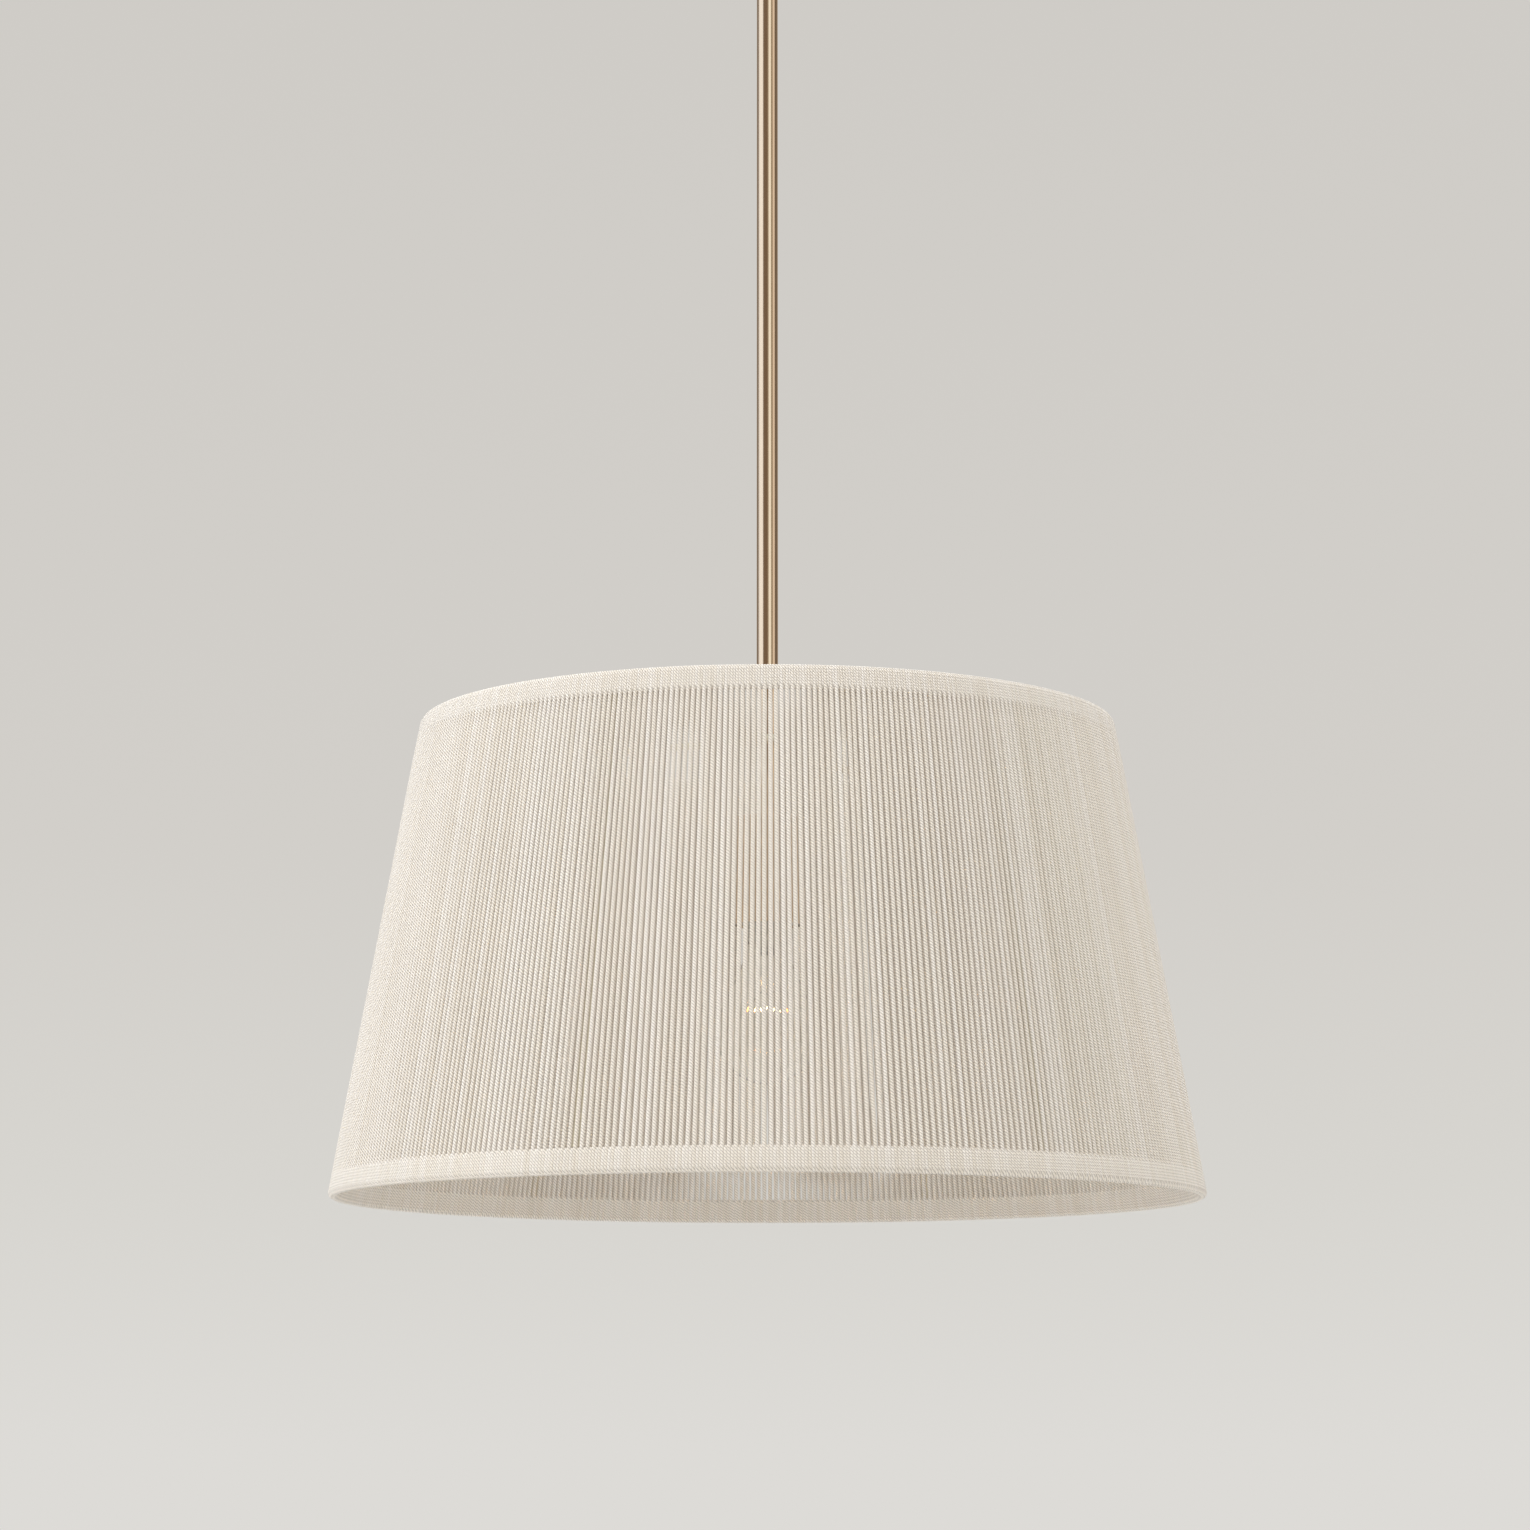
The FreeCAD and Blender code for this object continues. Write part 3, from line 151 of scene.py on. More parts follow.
def lacquered_brass():
    """Brass tube and spun brass, brushed fine and lacquered: pale straw gold, long crisp highlights."""
    material, shader, node = finish_of("lacquered_brass_brushed", Metallic=1.0, Coat_Weight=0.35,
                                       Coat_Roughness=0.08)
    place = node("ShaderNodeTexCoord").outputs["Object"]
    # brushing lines about 0.25 mm apart across the tube, tens of millimetres long
    across, along = 1 / (0.25 * MM), 1 / (30 * MM)
    stretched = node("ShaderNodeMapping", {0: place, "Scale": (across, across, along)})
    lines = node("ShaderNodeTexNoise", {"Vector": stretched, "Scale": 1.0, "Detail": 2.0})
    # the lacquer's depth changes slowly, over some 40 mm
    cloud = node("ShaderNodeTexNoise", {"Vector": place, "Scale": 1 / (40 * MM), "Detail": 3.0})
    tone = node("ShaderNodeValToRGB", {0: cloud}, stops=((0.3, "#ead2b8"), (0.7, "#f0d8be")))
    streaked = node("ShaderNodeMix", {0: lines, 6: tone, 7: linear("#ebd4ba")}, data_type="RGBA")
    rough = node("ShaderNodeMapRange", {0: lines, 3: 0.09, 4: 0.15})
    bump = node("ShaderNodeBump", {"Height": lines, "Strength": 0.03, "Distance": 0.01 * MM})
    feed(shader, {"Base Color": streaked, "Roughness": rough, "Normal": bump})
    return material


def turned_brass():
    """Free-cutting brass, turned and left bare: yellow, with fine rings from the tool."""
    material, shader, node = finish_of("free_cutting_brass_turned", Metallic=1.0, Roughness=0.3)
    place = node("ShaderNodeTexCoord").outputs["Object"]
    # tool marks 0.3 mm apart along the axis: the wave repeats every pi / 10 units at scale 1
    marks = {"Vector": place, "Scale": math.pi / (10 * 0.3 * MM), "Distortion": 0.4}
    rings = node("ShaderNodeTexWave", marks, bands_direction="Z").outputs["Fac"]
    tone = node("ShaderNodeValToRGB", {0: rings}, stops=((0.0, "#b8904a"), (1.0, "#cda65c")))
    bump = node("ShaderNodeBump", {"Height": rings, "Strength": 0.1, "Distance": 0.02 * MM})
    feed(shader, {"Base Color": tone, "Normal": bump})
    return material


def zinc_plated_steel():
    """Pressed mild steel, zinc plated and passivated: grey with a soft spangle."""
    material, shader, node = finish_of("mild_steel_zinc_plated", Metallic=1.0)
    place = node("ShaderNodeTexCoord").outputs["Object"]
    # spangle of 2 mm
    spangle = node("ShaderNodeTexVoronoi", {"Vector": place, "Scale": 1 / (2 * MM)}).outputs["Color"]
    grey = node("ShaderNodeSeparateColor", {0: spangle})
    tone = node("ShaderNodeValToRGB", {0: grey}, stops=((0.0, "#a9abac"), (1.0, "#c3c4c2")))
    rough = node("ShaderNodeMapRange", {0: grey, 3: 0.3, 4: 0.45})
    feed(shader, {"Base Color": tone, "Roughness": rough})
    return material


def dyed_zinc():
    """A steel screw head, zinc plated and dyed green: the dye is thin in spots of about a millimetre."""
    material, shader, node = finish_of("steel_zinc_dyed_green", Metallic=0.7, Roughness=0.35)
    place = node("ShaderNodeTexCoord").outputs["Object"]
    worn = node("ShaderNodeTexNoise", {"Vector": place, "Scale": 1 / (1.1 * MM), "Detail": 3.0})
    tone = node("ShaderNodeValToRGB", {0: worn}, stops=((0.35, "#2f6b3e"), (0.75, "#5c8a5d")))
    feed(shader, {"Base Color": tone})
    return material


def glazed_porcelain():
    """Electrical porcelain, slip cast and glazed: warm white, glossy, with a faint orange peel."""
    material, shader, node = finish_of("electrical_porcelain_glazed", Roughness=0.12, IOR=1.52,
                                       Coat_Weight=0.5, Coat_Roughness=0.05)
    place = node("ShaderNodeTexCoord").outputs["Object"]
    # iron specks of about 2 mm, under a glaze that ripples over 3 mm
    specks = node("ShaderNodeTexNoise", {"Vector": place, "Scale": 1 / (2 * MM), "Detail": 4.0})
    tone = node("ShaderNodeValToRGB", {0: specks}, stops=((0.3, "#e9e4d8"), (0.6, "#f2eee4")))
    ripple = node("ShaderNodeTexNoise", {"Vector": place, "Scale": 1 / (3 * MM)})
    bump = node("ShaderNodeBump", {"Height": ripple, "Strength": 0.1, "Distance": 0.1 * MM})
    feed(shader, {"Base Color": tone, "Normal": bump})
    return material


def blown_glass():
    """Soda-lime glass, blown thin: clear, seen by its bright rim and reflections."""
    material, shader, node = finish_of("soda_lime_glass_blown", Roughness=0.02, IOR=1.5,
                                       Transmission_Weight=1.0)
    place = node("ShaderNodeTexCoord").outputs["Object"]
    # blowing leaves the wall uneven over about 30 mm
    swell = node("ShaderNodeTexNoise", {"Vector": place, "Scale": 1 / (30 * MM)})
    tone = node("ShaderNodeValToRGB", {0: swell}, stops=((0.2, "#f8f8f5"), (0.8, "#fdfdfc")))
    bump = node("ShaderNodeBump", {"Height": swell, "Strength": 0.1, "Distance": 0.3 * MM})
    feed(shader, {"Base Color": tone, "Normal": bump})
    return material


def rolled_aluminium():
    """Aluminium sheet, rolled into a thread: bright silver with faint rolling lines."""
    material, shader, node = finish_of("aluminium_thread_rolled", Metallic=1.0)
    place = node("ShaderNodeTexCoord").outputs["Object"]
    # lines 0.17 mm apart up the thread and about 5 mm long
    stretched = node("ShaderNodeMapping", {0: place, "Scale": (1 / (5 * MM), 1 / (5 * MM), 1 / (0.17 * MM))})
    lines = node("ShaderNodeTexNoise", {"Vector": stretched, "Scale": 1.0})
    tone = node("ShaderNodeValToRGB", {0: lines}, stops=((0.3, "#c4c3bf"), (0.7, "#d9d8d4")))
    rough = node("ShaderNodeMapRange", {0: lines, 3: 0.2, 4: 0.36})
    feed(shader, {"Base Color": tone, "Roughness": rough})
    return material


def fused_black_glass():
    """Black vitrified insulator, fused into the cap: near black, glossy, with pits of about 0.7 mm."""
    material, shader, node = finish_of("vitrified_glass_black", Roughness=0.15, IOR=1.55)
    place = node("ShaderNodeTexCoord").outputs["Object"]
    pits = node("ShaderNodeTexNoise", {"Vector": place, "Scale": 1 / (0.7 * MM), "Detail": 3.0})
    tone = node("ShaderNodeValToRGB", {0: pits}, stops=((0.3, "#0d0d10"), (0.8, "#25242a")))
    feed(shader, {"Base Color": tone})
    return material


def drawn_wire():
    """Nickel wire, drawn: dull silver, mottled over a third of a millimetre."""
    material, shader, node = finish_of("nickel_wire_drawn", Metallic=1.0, Roughness=0.35)
    place = node("ShaderNodeTexCoord").outputs["Object"]
    mottle = node("ShaderNodeTexNoise", {"Vector": place, "Scale": 1 / (0.33 * MM)})
    tone = node("ShaderNodeValToRGB", {0: mottle}, stops=((0.3, "#8d8a86"), (0.7, "#a9a6a1")))
    feed(shader, {"Base Color": tone})
    return material


def glowing_tungsten():
    """Coiled tungsten, lit: pale amber along its middle and orange where its clamps cool it."""
    material, shader, node = finish_of("tungsten_coil_glowing", Roughness=0.5, Emission_Strength=14.0)
    place = node("ShaderNodeTexCoord").outputs["Object"]
    across = node("ShaderNodeSeparateXYZ", {0: place}).outputs["X"]
    distance = node(MATH, {0: across}, operation="ABSOLUTE")
    end = node("ShaderNodeMapRange", {0: distance, 2: (FILAMENT_HIGH.x - FILAMENT_LOW.x) / 2})
    glow = node("ShaderNodeValToRGB", {0: end}, stops=((0.0, "#ffdca8"), (0.7, "#ffc074"), (1.0, "#e87a28")))
    feed(shader, {"Emission Color": glow, "Base Color": glow})
    return material


def twisted_cotton(sizes):
    """Bleached cotton cord, three plies: soft, matt and warm white, with slanting furrows and loose fibres.

    It has a faint painted glow: emission that stands in for the lit bulb's light shining through it.
    """
    material, shader, node = finish_of("cotton_cord_twisted", Roughness=0.9, Sheen_Weight=0.15,
                                       Sheen_Roughness=0.5, Specular_IOR_Level=0.25, Subsurface_Weight=0.6,
                                       Subsurface_Radius=(1.0, 1.0, 0.95), Subsurface_Scale=1.2 * MM,
                                       Emission_Color=linear("#fff0e2"))
    turn = node("ShaderNodeAttribute", attribute_name="cord_turn").outputs["Vector"]
    cos, sin, along = node("ShaderNodeSeparateXYZ", {0: turn}).outputs
    around = node(MATH, {0: sin, 1: cos}, operation="ARCTAN2")
    # each ply makes a full turn in the length of the lay, so a groove between plies crosses at every third of
    # it
    phase = node(MATH, {0: along, 1: math.tau / sizes.lay, 2: around}, operation="MULTIPLY_ADD")
    half_plies = node(MATH, {0: phase, 1: sizes.plies / 2}, operation="MULTIPLY")
    swing = node(MATH, {0: half_plies}, operation="SINE")
    crest = node(MATH, {0: swing}, operation="ABSOLUTE")
    coordinates = node("ShaderNodeTexCoord")
    place = coordinates.outputs["Object"]
    # loose fibres, about 0.4 mm apart
    fibre = node("ShaderNodeTexNoise",
                 {"Vector": place, "Scale": 1 / (0.4 * MM), "Detail": 3.0, "Roughness": 0.7})
    # the bleach takes unevenly from turn to turn, and over some 60 mm
    cloud = node("ShaderNodeTexNoise", {"Vector": place, "Scale": 1 / (60 * MM), "Detail": 2.0})
    tone = node("ShaderNodeAttribute", attribute_name="cord_tone").outputs["Fac"]
    bleach = node("ShaderNodeMix", {0: tone, 6: (*sizes.cord_dull, 1.0), 7: (*sizes.cord_pale, 1.0)},
                  data_type="RGBA")
    # painted shade: the colour darkens to half in the furrows between the plies, where shade falls
    painted_furrow_shade = node("ShaderNodeMapRange", {0: crest, 1: 0.1, 2: 0.7, 3: 0.5, 4: 1.0})
    soft = node("ShaderNodeMapRange", {0: fibre, 3: 0.88, 4: 1.08})
    patch = node("ShaderNodeMapRange", {0: cloud, 3: 0.96, 4: 1.03})
    furrow_shade_and_fibre = node(MATH, {0: painted_furrow_shade, 1: soft}, operation="MULTIPLY")
    # the painted furrow shade together with the fibres' and the bleach's own tone
    shade = node(MATH, {0: furrow_shade_and_fibre, 1: patch}, operation="MULTIPLY")
    colour = node("ShaderNodeVectorMath", {0: bleach, "Scale": shade}, operation="SCALE")
    height = node(MATH, {0: fibre, 1: 0.35, 2: crest}, operation="MULTIPLY_ADD")
    bump = node("ShaderNodeBump", {"Height": height, "Strength": 1.0, "Distance": 0.4 * MM})
    # painted glow in place of the bulb's light coming through the cotton, stronger on the side that faces
    # away from the stem
    outwards = node("ShaderNodeVectorMath", {0: place, 1: (1.0, 1.0, 0.0)}, operation="MULTIPLY")
    facing = node("ShaderNodeVectorMath", {0: outwards, 1: coordinates.outputs["Normal"]},
                  operation="DOT_PRODUCT")
    through = node("ShaderNodeMapRange", {0: facing, 1: -0.1, 2: 0.2, 3: 0.06, 4: 0.14})
    feed(shader, {"Base Color": colour, "Normal": bump, "Emission Strength": through})
    return material


def powder_coat():
    """Steel wire and strip, powder coated cream: satin with an orange peel of about 0.8 mm."""
    material, shader, node = finish_of("steel_powder_coated_cream", Roughness=0.45)
    place = node("ShaderNodeTexCoord").outputs["Object"]
    peel = node("ShaderNodeTexNoise", {"Vector": place, "Scale": 1 / (0.8 * MM), "Detail": 1.0})
    tone = node("ShaderNodeValToRGB", {0: peel}, stops=((0.3, "#d9d1be"), (0.7, "#e0d8c5")))
    bump = node("ShaderNodeBump", {"Height": peel, "Strength": 0.1, "Distance": 0.03 * MM})
    feed(shader, {"Base Color": tone, "Normal": bump})
    return material


def moulded_plastic(name, dark, light):
    """Extruded wire insulation or a moulded nut: satin, with flow marks of about 1.5 mm."""
    material, shader, node = finish_of(name, IOR=1.5)
    place = node("ShaderNodeTexCoord").outputs["Object"]
    flow = node("ShaderNodeTexNoise", {"Vector": place, "Scale": 1 / (1.5 * MM), "Detail": 3.0})
    tone = node("ShaderNodeValToRGB", {0: flow}, stops=((0.3, dark), (0.7, light)))
    rough = node("ShaderNodeMapRange", {0: flow, 3: 0.32, 4: 0.5})
    feed(shader, {"Base Color": tone, "Roughness": rough})
    return material


FINISHES = {
    "bracket_steel": zinc_plated_steel,
    "ground_green": dyed_zinc,
    "satin_brass": lacquered_brass,
    "plain_brass": turned_brass,
    "porcelain": glazed_porcelain,
    "bulb_glass": blown_glass,
    "cap_alloy": rolled_aluminium,
    "cap_glass": fused_black_glass,
    "filament_wire": drawn_wire,
    "frame_paint": powder_coat,
    "black_insulation": partial(moulded_plastic, "pvc_extruded_black", "#161616", "#242424"),
    "white_insulation": partial(moulded_plastic, "pvc_extruded_white", "#d6d4cd", "#e6e5df"),
    "green_insulation": partial(moulded_plastic, "pvc_extruded_green", "#1e5a2e", "#2a6d39"),
    "connector_plastic": partial(moulded_plastic, "nylon_moulded_orange", "#c4641c", "#d67628"),
}


# ---------------------------------------------------------------- the winding

# how far from an edge, in heights of a band, the turns begin to stray and stray in full
FREE_FROM = 1.4
FREE_BY = 3.0
# how far from an edge a cord is back to its full thickness, in heights of a band
FULL_BY = 1.3
# the share of its stray that a turn keeps inside a band
HELD_STRAY = 0.02
# one slow swing of the winding lasts about eight turns
SWINGS_PER_TURN = 0.13
# keep the noise of the two layers, of the two ends and of the inner turns' tickets apart
LAYERS_APART = 31.7
ENDS_APART = 2.9
INNER_TICKETS = 1000.0

WINDING_INPUTS = (
    ("Turns", "NodeSocketInt", 430),
    ("Phase", "NodeSocketFloat", 0.0),
    ("Foot Radius", "NodeSocketFloat", 0.2545),
    ("Foot Level", "NodeSocketFloat", -0.9404),
    ("Lean", "NodeSocketFloat", 0.177),
    ("Slope", "NodeSocketFloat", 0.2838),
    ("Band", "NodeSocketFloat", 0.0154),
    ("Cord Diameter", "NodeSocketFloat", 0.0024),
    ("Wall", "NodeSocketFloat", 0.006),
    ("Outer Wander", "NodeSocketFloat", 0.6),
    ("Inner Wander", "NodeSocketFloat", 2.8),
    ("Jitter", "NodeSocketFloat", 0.06),
    ("Pressed Share", "NodeSocketFloat", 0.33),
    ("Sides", "NodeSocketInt", 6),
    ("Seed", "NodeSocketInt", 21),
    ("Cord", "NodeSocketMaterial", None),
)


def turn_path(start, end, cord, wall, stations):
    """One turn of cord as a closed line: x runs up the slope of the shade, y inwards through its wall."""
    outer = cord / 2
    inner = wall - cord / 2
    middle = (outer + inner) / 2
    bend = (inner - outer) / 2
    low = start + cord / 2 + bend
    high = end - cord / 2 - bend
    runs = [low + (high - low) * station for station in stations]
    arc = [math.pi * k / 4 for k in (1, 2, 3)]
    points = [(x, outer, 0.0) for x in runs]
    points += [(high + bend * math.sin(a), middle - bend * math.cos(a), 0.0) for a in arc]
    points += [(x, inner, 0.0) for x in reversed(runs)]
    points += [(low - bend * math.sin(a), middle + bend * math.cos(a), 0.0) for a in arc]
    # the line closes over a hair's breadth, where its measured length falls back to nothing
    points.append((low - HAIR, outer, 0.0))
    count = len(points)
    return points, [(i, (i + 1) % count) for i in range(count)]


def winding_tree():
    """Repeats a closed turn of cord round the shade's cone, lets each turn wander and makes it thick."""
    tree, given, node = group("cord_winding", WINDING_INPUTS)
    line = node("GeometryNodeMeshToCurve", {0: given["Geometry"]})
    turns = node("GeometryNodeDuplicateElements", {0: line, 2: given["Turns"]}, domain="SPLINE")
    index = turns.outputs["Duplicate Index"]
    along, through, _ = node("ShaderNodeSeparateXYZ", {0: node("GeometryNodeInputPosition")}).outputs

    # how far each end of a run has strayed, in pitches: the inner runs stray more than the outer ones
    half_wall = node(MATH, {0: given["Wall"], 1: 0.5}, operation="MULTIPLY")
    inside = node(MATH, {0: through, 1: half_wall}, operation="GREATER_THAN")
    reach = node("ShaderNodeMix", {0: inside, 2: given["Outer Wander"], 3: given["Inner Wander"]})
    layer = node(MATH, {0: inside, 1: LAYERS_APART, 2: given["Seed"]}, operation="MULTIPLY_ADD")
    ticket = node(MATH, {0: inside, 1: INNER_TICKETS, 2: index}, operation="MULTIPLY_ADD")
    strays = []
    for end in (0.0, 1.0):
        swing = node(MATH, {0: index, 1: SWINGS_PER_TURN}, operation="MULTIPLY")
        spot = node("ShaderNodeCombineXYZ", {0: swing, 1: layer, 2: ENDS_APART * end})
        noise = node("ShaderNodeTexNoise", {"Vector": spot, "Scale": 1.0, "Detail": 2.0})
        slow = node(MATH, {0: noise, 1: 0.5}, operation="SUBTRACT")
        end_seed = node(MATH, {0: given["Seed"], 1: end}, operation="ADD")
        quick = node("FunctionNodeRandomValue", {2: -1.0, 3: 1.0, "ID": ticket, "Seed": end_seed},
                     data_type="FLOAT")
        own = node(MATH, {0: quick, 1: given["Jitter"]}, operation="MULTIPLY")
        strays.append(node(MATH, {0: slow, 1: reach, 2: own}, operation="MULTIPLY_ADD"))
    share = node(MATH, {0: along, 1: given["Slope"]}, operation="DIVIDE")
    stray = node("ShaderNodeMix", {0: share, 2: strays[0], 3: strays[1]})

    # the bands hold every turn in its place
    from_head = node(MATH, {0: given["Slope"], 1: along}, operation="SUBTRACT")
    from_end = node(MATH, {0: along, 1: from_head}, operation="MINIMUM")
    free_from = node(MATH, {0: given["Band"], 1: FREE_FROM}, operation="MULTIPLY")
    free_by = node(MATH, {0: given["Band"], 1: FREE_BY}, operation="MULTIPLY")
    free = node("ShaderNodeMapRange", {0: from_end, 1: free_from, 2: free_by, 3: HELD_STRAY, 4: 1.0},
                interpolation_type="SMOOTHSTEP")
    held = node(MATH, {0: index, 1: given["Phase"]}, operation="ADD")
    place = node(MATH, {0: stray, 1: free, 2: held}, operation="MULTIPLY_ADD")
    step = node(MATH, {0: math.tau, 1: given["Turns"]}, operation="DIVIDE")
    angle = node(MATH, {0: place, 1: step}, operation="MULTIPLY")

    # from the flat turn onto the cone
    lean_sin = node(MATH, {0: given["Lean"]}, operation="SINE")
    lean_cos = node(MATH, {0: given["Lean"]}, operation="COSINE")
    drawn_in = node(MATH, {0: along, 1: lean_sin}, operation="MULTIPLY")
    depth = node(MATH, {0: through, 1: lean_cos, 2: drawn_in}, operation="MULTIPLY_ADD")
    radius = node(MATH, {0: given["Foot Radius"], 1: depth}, operation="SUBTRACT")
    rise = node(MATH, {0: along, 1: lean_cos, 2: given["Foot Level"]}, operation="MULTIPLY_ADD")
    dip = node(MATH, {0: through, 1: lean_sin}, operation="MULTIPLY")
    level = node(MATH, {0: rise, 1: dip}, operation="SUBTRACT")
    angle_cos = node(MATH, {0: angle}, operation="COSINE")
    angle_sin = node(MATH, {0: angle}, operation="SINE")
    east = node(MATH, {0: radius, 1: angle_cos}, operation="MULTIPLY")
    north = node(MATH, {0: radius, 1: angle_sin}, operation="MULTIPLY")
    spot = node("ShaderNodeCombineXYZ", {0: east, 1: north, 2: level})

    # full thickness on the panel, and in the bands pressed to a share of the pitch by the turns between
    full = node(MATH, {0: given["Cord Diameter"], 1: 0.5}, operation="MULTIPLY")
    pitch = node(MATH, {0: radius, 1: step}, operation="MULTIPLY")
    room = node(MATH, {0: pitch, 1: given["Pressed Share"]}, operation="MULTIPLY")
    pressed = node(MATH, {0: room, 1: full}, operation="MINIMUM")
    swell_by = node(MATH, {0: given["Band"], 1: FULL_BY}, operation="MULTIPLY")
    loose = node("ShaderNodeMapRange", {0: from_end, 1: given["Band"], 2: swell_by})
    thick = node("ShaderNodeMix", {0: loose, 2: pressed, 3: full})

    length = node("GeometryNodeSplineParameter").outputs["Length"]
    tone = node("FunctionNodeRandomValue", {"ID": index, "Seed": given["Seed"]}, data_type="FLOAT")
    kept = node("GeometryNodeCaptureAttribute", {0: turns})
    for name, kind, value in (("place", "VECTOR", spot), ("thick", "FLOAT", thick),
                              ("along", "FLOAT", length), ("tone", "FLOAT", tone)):
        kept.capture_items.new(kind, name)
        feed(kept, {name: value})
    moved = node("GeometryNodeSetPosition", {0: kept, "Position": kept.outputs["place"]})

    ring = node("GeometryNodeCurvePrimitiveCircle", {"Resolution": given["Sides"], "Radius": 1.0})
    corner = node(MATH, {0: math.tau, 1: given["Sides"]}, operation="DIVIDE")
    around = node(MATH, {0: node("GeometryNodeInputIndex"), 1: corner}, operation="MULTIPLY")
    section = node("GeometryNodeCaptureAttribute", {0: ring})
    for name, operation in (("cos", "COSINE"), ("sin", "SINE")):
        section.capture_items.new("FLOAT", name)
        feed(section, {name: node(MATH, {0: around}, operation=operation)})
    cords = node("GeometryNodeCurveToMesh", {0: moved, 1: section, "Scale": kept.outputs["thick"]})

    # what the cotton's furrows and tone follow
    turned = node("ShaderNodeCombineXYZ", {0: section.outputs["cos"], 1: section.outputs["sin"],
                                           2: kept.outputs["along"]})
    marked = node("GeometryNodeStoreNamedAttribute", {0: cords, "Name": "cord_turn", "Value": turned},
                  data_type="FLOAT_VECTOR")
    toned = node("GeometryNodeStoreNamedAttribute",
                 {0: marked, "Name": "cord_tone", "Value": kept.outputs["tone"]}, data_type="FLOAT")
    real = node("GeometryNodeRealizeInstances", {0: node("GeometryNodeSetShadeSmooth", {0: toned})})
    node("NodeGroupOutput", {0: node("GeometryNodeSetMaterial", {0: real, "Material": given["Cord"]})})
    return tree


def wind(name, stations, start, end, nodes, **inputs):
    """Winds one piece of the shade, from start to end up its slope, in place of its plain nodes."""
    sizes = bpy.context.scene.pendant_shade
    slope, lean = shade_slope(sizes)
    points, edges = turn_path(start, end, sizes.cord, sizes.wall, stations)
    tree = bpy.data.node_groups.get("cord_winding") or winding_tree()
    values = {
        "Turns": sizes.turns,
        "Foot Radius": sizes.foot_radius,
        "Foot Level": SHADE_TOP + sizes.wall / 2 * math.sin(lean) - sizes.height,
        "Lean": lean,
        "Slope": slope,
        "Band": sizes.band,
        "Cord Diameter": sizes.cord,
        "Wall": sizes.wall,
        "Cord": bpy.data.materials.get("cotton_cord_twisted") or twisted_cotton(sizes),
        **inputs,
    }
    build(name, tree, mesh_object(name + "_path", points, edges), values, "pendant", nodes)


def shade_slope(sizes):
    """The length of the shade's side and its lean from upright."""
    inward = sizes.foot_radius - sizes.top_radius
    slope = math.hypot(inward, sizes.height)
    return slope, math.asin(inward / slope)


# ---------------------------------------------------------------- the filament

COIL_INPUTS = (
    ("Coils", "NodeSocketFloat", 11.0),
    ("Length", "NodeSocketFloat", 0.024),
    ("Radius", "NodeSocketFloat", 0.0012),
    ("Wire", "NodeSocketFloat", 0.0004),
    ("Middle", "NodeSocketVector", (0.0, 0.0, 0.0)),
    ("Tungsten", "NodeSocketMaterial", None),
)


def coil_tree():
    """A helix of wire laid along X about its middle."""
    tree, given, node = group("filament_coil", COIL_INPUTS)
    helix = node("GeometryNodeCurveSpiral", {"Resolution": 12, "Rotations": given["Coils"],
                                             "Start Radius": given["Radius"], "End Radius": given["Radius"],
                                             "Height": given["Length"]})
    ring = node("GeometryNodeCurvePrimitiveCircle",
                {"Resolution": 6, "Radius": node(MATH, {0: given["Wire"], 1: 0.5}, operation="MULTIPLY")})
    wire = node("GeometryNodeCurveToMesh", {0: helix, 1: ring, "Fill Caps": True})
    back = node(MATH, {0: given["Length"], 1: -0.5}, operation="MULTIPLY")
    start = node("ShaderNodeCombineXYZ", {0: back})
    place = node("ShaderNodeVectorMath", {0: given["Middle"], 1: start}, operation="ADD")
    laid = node("GeometryNodeTransform", {0: wire, "Translation": place, "Rotation": (0.0, math.pi / 2, 0.0)})
    real = node("GeometryNodeRealizeInstances", {0: node("GeometryNodeSetShadeSmooth", {0: laid})})
    node("NodeGroupOutput", {0: node("GeometryNodeSetMaterial", {0: real, "Material": given["Tungsten"]})})
    return tree


# ---------------------------------------------------------------- settings

class ShadeSizes(bpy.types.PropertyGroup):
    """Sizes and colours of the cord shade."""
    foot_radius: bpy.props.FloatProperty(
        name="Foot radius", description="Outside radius at the lower edge", default=0.2545,
        unit="LENGTH", subtype="DISTANCE", precision=4)
    top_radius: bpy.props.FloatProperty(
        name="Top radius", description="Outside radius at the upper edge", default=0.2045,
        unit="LENGTH", subtype="DISTANCE", precision=4)
    height: bpy.props.FloatProperty(
        name="Height", description="Height of the shade", default=0.2794,
        unit="LENGTH", subtype="DISTANCE", precision=4)
    wall: bpy.props.FloatProperty(
        name="Wall", description="Thickness of the wall: cord, frame and cord", default=0.006,
        unit="LENGTH", subtype="DISTANCE", precision=4)
    band: bpy.props.FloatProperty(
        name="Band", description="Height of the closely wound bands at both edges", default=0.0154,
        unit="LENGTH", subtype="DISTANCE", precision=4)
    cord: bpy.props.FloatProperty(
        name="Cord", description="Diameter of the cord", default=0.0026,
        unit="LENGTH", subtype="DISTANCE", precision=4)
    lay: bpy.props.FloatProperty(
        name="Lay", description="Length in which a ply makes one full turn", default=0.0051,
        unit="LENGTH", subtype="DISTANCE", precision=4)
    plies: bpy.props.IntProperty(name="Plies", description="Plies twisted into the cord", default=3, min=2)
    turns: bpy.props.IntProperty(
        name="Turns", description="Turns of cord over the whole shade", default=430, min=12)
    cord_dull: bpy.props.FloatVectorProperty(
        name="Dullest cord", description="Colour of the least bleached turns", default=linear("#ece6dc")[:3],
        subtype="COLOR")
    cord_pale: bpy.props.FloatVectorProperty(
        name="Palest cord", description="Colour of the whitest turns", default=linear("#f4f0ea")[:3],
        subtype="COLOR")


